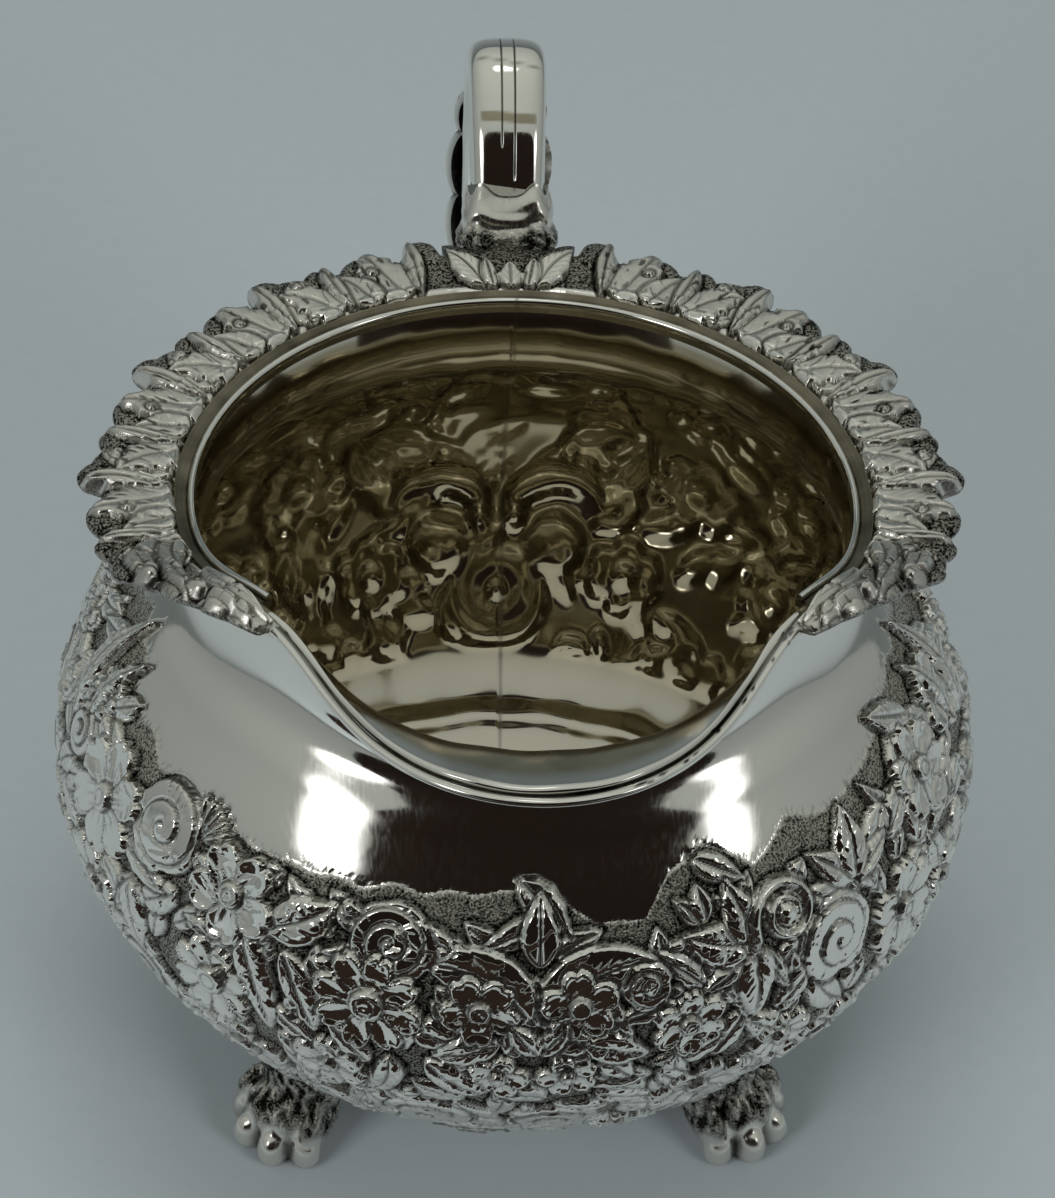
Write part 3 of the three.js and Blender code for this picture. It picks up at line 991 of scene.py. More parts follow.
# Long scrolls that climb to the border at the sides, and the back's scrolls round a shield
SIDE_AND_BACK: tuple[Placed, ...] = (
    *(Placed(Leaf(17.0, 1.9, 62.0 * side, height=1.1), 80.0 * side, 59.0, 90.0 - 28.0 * side)
      for side in BOTH),
    *(Placed(Leaf(11.0, 1.7, 50.0 * side, LeafEdge.LOBED, 1.0), 76.0 * side, 62.0, 90.0 - 8.0 * side)
      for side in BOTH),
    *(Placed(Scroll(3.4, 1.5, 0.9, side), 86.0 * side, 60.0, 90.0) for side in BOTH),
    *(Placed(waved(12.0, 3.0, 30.0 * side), 180.0 + 16.0 * side, 43.0, 90.0 - 40.0 * side)
      for side in BOTH),
    *(Placed(plain(11.0, 2.6, -30.0 * side), 180.0 + 9.0 * side, 50.5, 90.0 - 55.0 * side)
      for side in BOTH),
    *(Placed(Leaf(17.0, 2.2, 150.0 * side, height=1.6, veins=0.0), 180.0 - 1.8 * side, 40.0,
             90.0 + 12.0 * side) for side in BOTH),
    *(Placed(Bead(1.7, 1.6), 180.0 - 2.6 * side, 39.4) for side in BOTH),
    *(Placed(Rose(4.3, 1.6, 1.5), 180.0 + 8.8 * side, 36.0, 0.0) for side in BOTH),
    *(Placed(Flower(5.4, 6, 0.3, 1.4), 180.0 + 20.0 * side, 33.0, 0.0) for side in BOTH),
    *(Placed(Flower(6.6, 6, 0.3, 1.4), 180.0 + 29.0 * side, 47.5, 20.0) for side in BOTH),
    *(Placed(waved(8.0, 2.1, 50.0 * (-1) ** i), 96.0 + 12.9 * i, 67.0, 90.0 - 46.0 * (-1) ** i)
      for i in range(14)),
    *(Placed(Flower(3.4, 6), 102.4 + 12.9 * i, 69.4, 20.0 * i) for i in range(13)),
    Placed(Bead(6.9, 1.7), 180.0, 28.4),
    Placed(Bead(5.6, 0.8), 180.0, 29.2),
    Placed(Flower(4.2, 7, 0.3, 1.0), 180.0, 29.4, 0.0),
)

# Where the chased ground stops under the plain metal: (angle, length up the sheet)
GROUND_TOP: tuple[Point, ...] = (
    (-180.0, 74.5), (-95.0, 74.5), (-82.0, 73.4), (-78.0, 72.7), (-70.0, 68.4), (-51.0, 66.1),
    (-42.0, 65.0), (-31.0, 66.1), (-17.6, 66.7), (-8.5, 67.4), (0.0, 68.5), (8.0, 64.1), (14.0, 64.4),
    (18.0, 68.3), (23.0, 70.6), (30.0, 66.2), (37.0, 69.7), (48.0, 67.7), (59.0, 70.0), (64.0, 72.7),
    (79.0, 73.2), (95.0, 74.5), (180.0, 74.5),
)


@dataclass
class ChasedBody:
    """The raised body: one sheet, chased outside with the reverse showing inside, made in eight lengths."""

    bench: Workbench
    outline: JugOutline
    lengths: int = 8
    columns_each: int = 176
    pitch: float = 0.25
    ground_low: float = 11.5
    inner_every: int = 3
    inner_relief: float = 0.95
    leaf_step: float = 4.9
    row_step: float = 4.3
    leaf_headings: tuple[float, ...] = (28.0, 62.0, 118.0, 152.0, 215.0, 325.0)
    spray_side: float = 72.0
    spray_low: float = 47.0
    pad_patch: tuple[float, float, float] = (180.0, 54.0, 6.5)
    seed: int = 31

    def __post_init__(self) -> None:
        """Lays out the grid: fine where it is chased, coarser where it is plain."""
        count = self.lengths * self.columns_each
        self.turn = np.arange(count) * math.tau / count - math.pi
        top = self.outline.length
        self.rows = np.concatenate([
            np.linspace(0.0, 9.6, 20), np.arange(10.0, 76.0, self.pitch), np.linspace(76.4, top, 34),
        ])
        up = np.broadcast_to(self.rows, (count, len(self.rows)))
        self.sheet = ChasedSheet(self.turn, up, self.outline)
        self.back = ChasedSheet(self.turn, up, self.outline)

    def ground_top(self) -> np.ndarray:
        """Draws the ground's uneven upper edge.

        Returns:
            Its length up the sheet at each column.
        """
        angles, tops = np.array(GROUND_TOP).T
        even = np.interp(np.degrees(self.turn), angles, tops)
        return even + 0.5 * waves(self.turn * BELLY_ROUND, np.zeros_like(self.turn), 7.0, self.seed)

    def fill(self) -> tuple[list[Placed], list[Placed]]:
        """Seeded leaves and small flowers that fill the ground between the laid-out figures.

        Returns:
            The leaves, then the flowers, none of them over the laid-out flowers.
        """
        rng = np.random.default_rng(self.seed)
        angles, tops = np.array(GROUND_TOP).T
        laid = FRONT_SPRAY + LEFT_SPRAY + RIGHT_SPRAY + SIDE_AND_BACK
        round_kinds = (Flower, Rose, Scroll, Bead)
        taken = [(p.along, p.up, p.motif.reach - 1.0) for p in laid if isinstance(p.motif, round_kinds)]
        taken.append(self.pad_patch)

        def apart(angle: float, up: float, other: tuple[float, float, float]) -> float:
            """How far a place is from a figure's middle, in millimetres."""
            turned = math.radians((angle - other[0] + 180.0) % 360.0 - 180.0)
            return math.hypot(turned * self.outline.radius_at(0.5 * (up + other[1])), up - other[1])

        def clear(angle: float, up: float, radius: float) -> bool:
            """Whether a round figure fits there, clear of the laid-out sprays and of the others."""
            if abs(angle) < self.spray_side and up > self.spray_low:
                return False
            return all(
                apart(angle, up, other) > radius + other[2] * 0.94
                for other in taken if abs(up - other[1]) < radius + other[2]
            )

        blooms: list[Placed] = []
        for radius, tries in ((6.2, 260), (5.2, 340), (4.3, 420), (3.4, 420)):
            for _ in range(tries):
                angle = float(rng.uniform(-180.0, 180.0))
                ceiling = float(np.interp(angle, angles, tops)) - radius - 0.8
                up = float(rng.uniform(self.ground_low + radius + 0.8, ceiling))
                if not clear(angle, up, radius):
                    continue
                taken.append((angle, up, radius))
                kind = rng.random()
                heading = float(rng.uniform(0.0, 360.0))
                if kind < 0.68:
                    motif: Motif = Flower(radius, int(rng.integers(5, 9)), float(rng.uniform(0.24, 0.34)))
                elif kind < 0.88:
                    motif = Rose(radius, float(rng.uniform(1.8, 2.6)))
                else:
                    motif = Scroll(radius * 0.8, 1.7, 0.9, float(rng.choice([-1.0, 1.0])))
                blooms.append(Placed(motif, angle, up, heading))
        leaves: list[Placed] = []
        for row, up in enumerate(np.arange(self.ground_low + 2.0, 71.0, self.row_step)):
            around = math.tau * self.outline.radius_at(float(up))
            for i in range(int(around / self.leaf_step)):
                place = i + 0.5 * (row % 2) + float(rng.uniform(-0.25, 0.25))
                angle = place * 360.0 * self.leaf_step / around - 180.0
                low = up + float(rng.uniform(-0.8, 0.8))
                heading = float(rng.choice(self.leaf_headings) + rng.uniform(-16.0, 16.0))
                length = float(rng.uniform(6.0, 9.0))
                tip = low + length * math.sin(math.radians(heading))
                if tip > float(np.interp(angle, angles, tops)) - 1.8 or tip < self.ground_low + 0.6:
                    continue
                edge = LeafEdge.WAVED if rng.random() < 0.4 else LeafEdge.PLAIN
                half_width, curl = float(rng.uniform(1.5, 2.2)), float(rng.uniform(-40.0, 40.0))
                leaves.append(Placed(Leaf(length, half_width, curl, edge, 0.75), angle, low, heading))
        rng.shuffle(leaves)
        return leaves, blooms

    def chase(self) -> None:
        """Mats the ground, then works every figure, the laid-out ones last."""
        top = self.ground_top()[:, None]
        up = self.sheet.up
        ground = ease(self.ground_low - 0.4, self.ground_low + 0.5, up) * ease(top + 0.35, top - 0.35, up)
        self.sheet.matting = ground
        leaves, blooms = self.fill()
        laid = list(SIDE_AND_BACK + FRONT_SPRAY + LEFT_SPRAY + RIGHT_SPRAY)
        self.sheet.strike_all(leaves + blooms + laid)
        # Only the larger forms were pushed out from behind; the small leaves were worked from the front.
        broad = [p for p in leaves if p.motif.length > 7.4]
        self.back.strike_all(broad + blooms + laid)
        # A plain patch is left where the handle's pad is soldered on.
        patch = np.hypot(wrapped(self.turn - math.pi)[:, None] * 53.0 / 6.6, (up - 54.0) / 7.4)
        for name in ("height", "tarnish", "matting"):
            setattr(self.sheet, name, getattr(self.sheet, name) * ease(0.94, 1.04, patch))
        self.back.height *= between(0.3, 1.0, ease(0.8, 1.4, patch))
        low_ring = bell(up - self.ground_low, 0.3)
        self.sheet.height -= 0.15 * low_ring
        self.sheet.tarnish = np.maximum(self.sheet.tarnish, 0.8 * low_ring)
        # Small punch strokes soften the ground's upper edge.
        depth = top - up
        along = self.turn[:, None] * BELLY_ROUND
        fringe = ease(-1.3, -0.2, depth) * ease(1.6, 0.2, depth)
        uneven = waves(along, up, 2.2, self.seed + 5)
        strokes = ease(0.3, 0.95, np.sin(along * math.tau / 0.8 + 2.6 * uneven))
        strokes = strokes * ease(-0.6, 0.5, waves(along, up, 1.6, self.seed + 6))
        self.sheet.tarnish = np.maximum(self.sheet.tarnish, 0.6 * fringe * strokes)
        self.sheet.height -= 0.06 * fringe * strokes
        self.sheet.tarnish = np.maximum(self.sheet.tarnish, 0.2 * ground * ease(1.0, 6.0, depth))
        LOG.info("chased %d filling figures", len(leaves) + len(blooms))

    def inside_wall(self, rows: np.ndarray, relief: np.ndarray) -> np.ndarray:
        """The reverse of the chasing, with shallow rings left on the plain lower wall by the hammer.

        Args:
            rows: The inside wall's own lengths up the sheet.
            relief: The chasing's reverse at those rows.

        Returns:
            How far the wall stands out from the plain sheet.
        """
        along = self.turn[:, None] * INSIDE_ROUND
        reverse = relief * self.inner_relief
        reverse *= ease(20.5, 23.5, rows) * ease(77.0, 70.0, rows)
        low = rows[None] + 0.25 * waves(along, 0.0 * rows[None], 12.0, 8)
        rings_left = (0.35 - 0.16 * ease(10.4, 12.0, low) + 0.05 * ease(12.0, 12.5, low)
                      - 0.37 * ease(12.5, 15.2, low) + 0.42 * ease(15.2, 21.5, low)
                      - 0.29 * ease(21.5, 26.0, low))
        reverse = reverse + rings_left
        return reverse + 0.07 * waves(self.turn[:, None] * BELLY_ROUND, rows[None], 9.0, self.seed + 2)

    def inside_tarnish(self, rows: np.ndarray, reverse: np.ndarray) -> np.ndarray:
        """Tarnish in the inside wall's hollows, up its seam and in the throat of the lip.

        Args:
            rows: The inside wall's own lengths up the sheet.
            reverse: How far the wall stands out from the plain sheet.

        Returns:
            How tarnished each place is.
        """
        seam = bell(wrapped(self.turn - SEAM)[:, None] * RIM_ROUND, 0.28)
        dark = np.clip(0.07 - 0.3 * reverse, 0.0, 0.5) * ease(19.0, 24.0, rows)
        film = rows[None] + 0.9 * waves(self.turn[:, None] * INSIDE_ROUND, rows[None], 5.0, 19)
        throat = ease(77.0, 80.0, film) * (0.3 * ease(87.6, 86.9, film) + 0.36 * ease(85.4, 84.2, film))
        dark = np.maximum(dark, throat * self.outline.lip_share(self.turn)[:, None])
        return np.maximum(dark, 0.4 * seam)

    def build(self) -> None:
        """Raises the relief on the outline and cuts the sheet into its lengths."""
        self.chase()
        radius, height, out_r, out_z = self.outline.skin(self.rows, self.turn)
        relief = softened(self.sheet.height, 1, True)
        dents = 0.05 * waves(self.turn[:, None] * BELLY_ROUND, self.rows[None, :], 26.0, self.seed + 1)
        outer_r, outer_z = radius + (relief + dents) * out_r, height + (relief + dents) * out_z
        keep = np.concatenate([
            np.arange(0, 70), np.arange(70, len(self.rows) - 34, self.inner_every),
            np.arange(len(self.rows) - 34, len(self.rows)),
        ])
        rows = self.rows[keep]
        reverse = self.inside_wall(rows, softened(self.back.height, 7, True)[:, keep])
        thinnest = softened(relief, 5, True)[:, keep] - 0.3
        behind = np.minimum(reverse - self.outline.sheet, thinnest)
        inner_r = radius[:, keep] + behind * out_r[:, keep]
        inner_z = height[:, keep] + behind * out_z[:, keep]
        ring = np.concatenate([
            polar(outer_r, self.turn[:, None], outer_z),
            polar(inner_r, self.turn[:, None], inner_z)[:, ::-1],
        ], axis=1)
        blank = np.zeros_like(reverse)
        filmed_in = blank + between(0.62, 1.0, ease(17.0, 24.0, rows)) * ease(87.8, 87.0, rows)
        dark = self.inside_tarnish(rows, reverse)
        shades = {
            "tarnish": np.concatenate([self.sheet.tarnish, dark[:, ::-1]], axis=1),
            "matting": np.concatenate([self.sheet.matting, blank], axis=1),
            "inside": np.concatenate([0.0 * self.sheet.matting, filmed_in[:, ::-1]], axis=1),
        }
        around = np.roll(ring, -1, axis=0) - np.roll(ring, 1, axis=0)
        along = np.roll(ring, -1, axis=1) - np.roll(ring, 1, axis=1)
        normals = np.cross(around, along)
        normals /= np.linalg.norm(normals, axis=-1, keepdims=True) + 1e-12
        step = self.columns_each
        for i in range(self.lengths):
            pick = np.arange(i * step, (i + 1) * step + 1) % len(self.turn)
            mesh = ring_mesh(f"body_shell_{i + 1}", self.bench.framed(ring[pick]),
                             {key: values[pick] for key, values in shades.items()}, normals[pick])
            self.bench.put(f"body_shell_{i + 1}", mesh, Slot.CHASED, "body_shell")


@dataclass
class BaseDisc:
    """The base: a thin disc let into the body, its middle pushed up a little."""

    bench: Workbench
    thickness: float = 0.8
    dish: float = 0.5
    let_in: float = 0.3

    def build(self) -> None:
        """Spins the disc's section."""
        low, high = self.bench.box("base_disc")
        radius, foot = float(high[0]) + self.let_in, float(low[2])
        dished = [(0.0, self.dish), (0.3 * radius, self.dish), (0.36 * radius, 0.5 * self.dish),
                  (0.42 * radius, 0.0)]
        line = [(r, foot + z) for r, z in dished]
        line += [(radius - 0.3, foot), (radius, foot + 0.3), (radius, foot + self.thickness)]
        line += [(r, foot + self.thickness + z) for r, z in reversed(dished)]
        bm = bmesh.new()
        verts = [bm.verts.new((r, 0.0, z)) for r, z in line]
        edges = [bm.edges.new(pair) for pair in zip(verts, verts[1:])]
        bmesh.ops.spin(bm, geom=verts + edges, cent=(0, 0, 0), axis=(0, 0, 1), angle=math.tau, steps=128,
                       use_merge=True)
        bmesh.ops.remove_doubles(bm, verts=bm.verts[:], dist=1e-5)
        bmesh.ops.recalc_face_normals(bm, faces=bm.faces[:])
        bmesh.ops.transform(bm, verts=bm.verts[:], matrix=Matrix.Diagonal((MM, MM, MM, 1.0)))
        bmesh.ops.translate(bm, verts=bm.verts[:], vec=(*self.bench.middle, 0.0))
        mesh = finished(bm, "base_disc")
        shade_smooth(mesh)
        mesh.set_sharp_from_angle(angle=math.radians(40.0))
        self.bench.put("base_floor", mesh, Slot.POLISHED, "base_disc")


@dataclass
class RimWires:
    """The reeded wire on the rim and the fine wire round the lip."""

    bench: Workbench
    outline: JugOutline
    start: float = math.radians(49.5)
    half_width: float = 1.2
    lift: float = 0.65
    bead: float = 0.95
    cove: float = 1.35
    lip_radius: float = 0.75
    pits: int = 16

    def rim_section(self) -> tuple[np.ndarray, np.ndarray]:
        """The rim wire across: a bright bead inside and a dull cove outside.

        Returns:
            (across, up) places round the section, and how tarnished each is.
        """
        inner, round_bead = -self.half_width, self.bead / 2
        bead = [(inner + round_bead + round_bead * math.cos(a), 0.55 + 0.72 * math.sin(a))
                for a in np.linspace(math.pi, 0.0, 12)]
        cove = [(inner + self.bead + 0.12 + self.cove * s, 0.62 + 0.5 * s**2)
                for s in np.linspace(0.0, 1.0, 8)]
        base = [(1.25, 0.7), (1.25, -0.45), (0.0, -0.6), (inner, -0.5), (inner, 0.2)]
        dark = [0.0] * 10 + [0.6, 0.95, 0.9] + [0.78] * 3 + [0.7] * 3 + [0.5] + [0.5] * 5
        return np.array(bead + cove + base), np.array(dark)

    def rim(self) -> None:
        """Sweeps the reeded wire round the rim from one side of the lip to the other."""
        section, dark = self.rim_section()
        turn = np.linspace(self.start, math.tau - self.start, 420)
        radius, height = self.outline.rim_radius(turn), self.outline.rim_z(turn)
        rings = polar(radius[:, None] + section[:, 0], turn[:, None],
                      height[:, None] + self.lift + section[:, 1])
        shade = np.broadcast_to(dark, rings.shape[:2])
        seam = bell(wrapped(turn - SEAM)[:, None] * RIM_ROUND, 0.2) * 0.7
        brown = np.broadcast_to(ease(0.15, 0.4, dark), rings.shape[:2])
        shades = {"tarnish": np.maximum(shade, seam), "inside": brown}
        mesh = ring_mesh("rim_wire", self.bench.framed(rings), shades)
        self.bench.put("rim_bead", mesh, Slot.POLISHED, "rim_wire")

    def lip(self) -> None:
        """Sweeps the fine wire round the lip, dark where it meets the sheet and a little pitted."""
        end = self.outline.lip_half_angle - math.radians(3.0)
        turn = np.linspace(-end, end, 220)
        round_way = np.linspace(0.0, math.tau, 25)[:-1]
        out = self.outline.rim_radius(turn) + self.outline.sheet / 2 + self.lip_radius * 0.8
        slim = 0.62 + 0.38 * np.cos(round_way - 0.4)
        rings = polar(
            out[:, None] + self.lip_radius * np.cos(round_way), turn[:, None],
            self.outline.rim_z(turn)[:, None] - 0.2 + self.lip_radius * 0.8 * slim * np.sin(round_way),
        )
        inner_side = ease(1.7, 2.0, round_way) * ease(4.6, 4.2, round_way)
        dark = np.broadcast_to(0.95 * inner_side, rings.shape[:2])
        rng = np.random.default_rng(31)
        places = rng.uniform(9.0, 58.0, self.pits)
        sides = rng.uniform(0.5, 1.7, self.pits)
        sizes = rng.uniform(0.3, 0.8, self.pits)
        for at, side, size in zip(places, sides, sizes):
            dot = bell(np.degrees(turn) - at, size)[:, None] * bell(round_way - side, 0.3)
            dark = np.maximum(dark, 0.95 * ease(0.25, 0.6, dot))
        mesh = ring_mesh("lip_wire", self.bench.framed(rings), {"tarnish": dark})
        self.bench.put("lip_bead", mesh, Slot.POLISHED, "lip_wire")

    def build(self) -> None:
        """Makes both wires."""
        self.rim()
        self.lip()


# The castings across: shares of their width, and how high the top or the underside is there
CAST_TOP = ((0.0, 0.1, 0.3, 0.6, 0.85, 0.97, 1.0), (1.1, 1.45, 1.2, 1.15, 0.85, 0.35, 0.0))
CAST_UNDER = ((0.995, 0.97, 0.9, 0.75, 0.5, 0.25, 0.0), (-0.45, -0.8, -0.95, -0.75, -0.45, -0.2, 0.0))
SOCKET_TOP = ((0.0, 0.1, 0.3, 0.6, 0.85, 0.97, 1.0), (1.1, 1.45, 1.3, 1.5, 1.1, 0.4, 0.0))
SOCKET_UNDER = ((0.97, 0.75, 0.5, 0.25, 0.0), (-0.8, -0.8, -0.45, -0.2, 0.0))
# The long leaves that sweep along the border into the lip: (along, up, length, heading, curl)
SWEPT_LEAVES = (
    (20.0, 3.4, 13.0, 160.0, -18.0), (14.0, 1.0, 12.0, 168.0, 12.0), (21.0, 6.8, 10.0, 165.0, -25.0),
    (11.0, 5.4, 10.5, 172.0, 10.0), (8.0, 2.0, 8.0, 176.0, 8.0), (22.5, 1.4, 9.0, 150.0, 20.0),
)


@dataclass
class CastBorder:
    """The cast border outside the rim: five lengths and a tapering leaf on each side."""

    bench: Workbench
    outline: JugOutline
    wire_half: float = 1.2
    inner_edge: float = 1.3
    tip_start: float = math.radians(45.0)
    start: float = math.radians(54.0)
    end: float = math.radians(170.5)
    lengths: int = 5
    repeat: float = 18.9
    last: float = 4.0
    first: float = 20.0
    across_pitch: float = 0.16

    def fade(self, turn: np.ndarray) -> np.ndarray:
        """0 where the border meets the lip, 1 at the sides and back."""
        low = self.outline.lip_half_angle - math.radians(2.0)
        return ease(low, math.radians(80.0), np.abs(wrapped(turn)))

    def point(self, turn: np.ndarray, out: np.ndarray, up: np.ndarray) -> np.ndarray:
        """Finds places on the border.

        Args:
            turn: Angles from the front.
            out: Millimetres out from the rim wire, where the border has its full width.
            up: Millimetres above its back.

        Returns:
            The places.
        """
        fade = self.fade(turn)
        lean = np.radians(between(30.0, 9.0, fade))
        run = out * between(0.42, 1.0, fade)
        start = self.outline.rim_radius(turn) + self.wire_half + self.inner_edge * np.sin(lean)
        return polar(start + run * np.cos(lean) - up * np.sin(lean), turn,
                     self.outline.rim_z(turn) + run * np.sin(lean) + up * np.cos(lean))

    def pattern(self, along: np.ndarray) -> list[Placed]:
        """The border's repeat: a stem with a bead at its tip, a broad veined leaf, a tongue, then a matted
        lobe with a small leaf in front. Nearer the lip it runs into long swept tongues.

        Args:
            along: Millimetres along one side, from the lip to the handle's socket.

        Returns:
            The figures in order.
        """
        figures: list[Placed] = []
        for at in self.repeats(along):
            if at < self.first:
                break
            figures += [
                Placed(Leaf(8.8, 3.0, 30.0, LeafEdge.WAVED, 1.0, veins=0.2), at - 17.4, 0.6, 56.0),
                Placed(Leaf(10.2, 4.2, -25.0, LeafEdge.LOBED, 1.35, 0.55, 0.2), at - 2.6, 0.2, 118.0),
                Placed(Leaf(7.0, 2.3, 20.0, LeafEdge.PLAIN, 1.2, 0.55, 0.0), at - 7.4, 0.2, 100.0),
                Placed(Leaf(8.6, 3.6, 30.0, LeafEdge.LOBED, 1.25, 0.55, 0.2), at - 12.6, 0.2, 112.0),
                Placed(Leaf(11.2, 1.25, 14.0, height=1.5, blunt=1.1, veins=0.0), at - 0.9, 0.0, 80.0),
                Placed(Leaf(9.6, 1.1, -20.0, height=1.4, blunt=1.1, veins=0.0), at - 10.4, 0.0, 100.0),
                Placed(Bead(0.8, 1.2, 1.0), at - 14.4, 7.2),
                Placed(Bead(0.6, 1.5, 1.0), at - 5.6, 5.6),
            ]
        for at, up, length, heading, curl in SWEPT_LEAVES:
            leaf = Leaf(length, 1.7, curl, height=1.3, blunt=0.6, veins=0.0)
            figures.append(Placed(leaf, at, up, heading))
        berries = ((1.3, 1.6, 9.2, 7.6), (1.2, 1.5, 3.2, 5.2), (1.1, 1.4, 15.4, 9.2))
        figures += [Placed(Bead(radius, height), at, up) for radius, height, at, up in berries]
        return figures

    def repeats(self, along: np.ndarray) -> list[float]:
        """Where each repeat of the pattern ends, from the handle's socket towards the lip."""
        whole = float(along[-1])
        return [whole - self.last - self.repeat * i for i in range(int(whole / self.repeat) + 1)]

    def reach(self, along: np.ndarray) -> np.ndarray:
        """Draws the border's outer edge: lobes and beads with notches between.

        Args:
            along: Millimetres along one side, from the lip.

        Returns:
            The border's width at each place.
        """
        out = np.full(along.shape, 8.2)
        lumps = []
        for at in self.repeats(along):
            lumps += [(at + 1.2, 9.3, 1.9), (at - 5.6, 6.6, 3.4), (at - 11.2, 8.2, 1.7),
                      (at - 15.6, 6.2, 3.7)]
        lumps += [(9.2, 7.6, 1.5), (3.2, 6.4, 1.4), (15.4, 8.8, 1.5)]
        for at, centre, radius in lumps:
            inside = np.clip(radius**2 - (along - at) ** 2, 0.0, None)
            out = np.maximum(out, np.where(inside > 0.0, centre + np.sqrt(inside), 0.0))
        return softened(out[:, None], 3, False)[:, 0]

    def side(self, hand: int) -> None:
        """Casts one side.

        Args:
            hand: -1 for the left as the lip is faced, 1 for the right.
        """
        steps = int((self.end - self.tip_start) * BORDER_ROUND / self.across_pitch)
        edges = [self.tip_start] + list(np.linspace(self.start, self.end, self.lengths + 1))
        turn = np.unique(np.concatenate([np.linspace(self.tip_start, self.end, steps), edges]))
        mid = self.outline.rim_radius(turn) + 5.0
        along = np.concatenate([[0.0], np.cumsum(np.diff(turn) * 0.5 * (mid[1:] + mid[:-1]))])
        past_tip = np.clip((turn - self.tip_start) / (self.start - self.tip_start), 0, 1)
        taper = between(0.35, 1.0, np.sqrt(past_tip))
        outer = self.reach(along) * taper
        share = np.linspace(0.0, 1.0, 62)
        sheet = ChasedSheet(along, outer[:, None] * share, None, 0.4, 0.55)
        sheet.matting[:] = ease(1.0, 1.5, sheet.up) * ease(6.0, 18.0, along)[:, None]
        sheet.tarnish[:] = 0.3 * sheet.matting
        sheet.height[:] = 0.5 * ease(4.5, 7.5, sheet.up)
        sheet.strike_all(self.pattern(along))
        # Flecks of tarnish run out along the leaves from the rim.
        streaks = waves(along[:, None], 0.3 * sheet.up, 0.9, 11 + hand)
        streaks = streaks + 0.4 * waves(along[:, None], sheet.up, 2.5, 21)
        flecks = ease(0.75, 1.3, streaks) * ease(1.4, 2.6, sheet.up)
        greyed = np.maximum(0.9 * flecks, 0.24 * ease(1.4, 3.0, sheet.up))
        sheet.tarnish[:] = np.maximum(sheet.tarnish, greyed)
        sheet.height -= 0.12 * flecks
        edge = ease(1.1, 0.5, sheet.up)
        sheet.matting *= 1.0 - edge
        base = np.interp(share, *CAST_TOP)
        band = 0.35 * bell(sheet.up - 0.7, 0.6)
        rolled = ease(1.0, 0.93, share)
        top = base + (softened(sheet.height, 1, False) * 0.85 + band) * rolled * taper[:, None]
        under_share, under_up = np.array(CAST_UNDER)
        out_under = outer[:, None] * under_share
        out = np.concatenate([sheet.up, out_under], axis=1)
        up = np.concatenate([top, under_up * taper[:, None]], axis=1)
        places = self.point(hand * turn[:, None], out, up)
        blank = np.zeros(out_under.shape)
        shades = {"tarnish": np.concatenate([sheet.tarnish, blank + 0.3], axis=1),
                  "matting": np.concatenate([sheet.matting, blank + 0.6], axis=1)}
        name_hand = "left" if hand < 0 else "right"
        marks = [int(np.argmin(np.abs(turn - e))) for e in edges]
        for i, (first, last) in enumerate(zip(marks, marks[1:])):
            node = f"border_end_{name_hand}" if i == 0 else f"border_section_{name_hand}_{i}"
            pick = slice(first, last + 1)
            shade = {key: values[pick] for key, values in shades.items()}
            mesh = ring_mesh(node, self.bench.framed(places[pick]), shade)
            self.bench.put(f"leafy_{node}", mesh, Slot.CAST, node)

    def build(self) -> None:
        """Casts both sides."""
        self.side(-1)
        self.side(1)


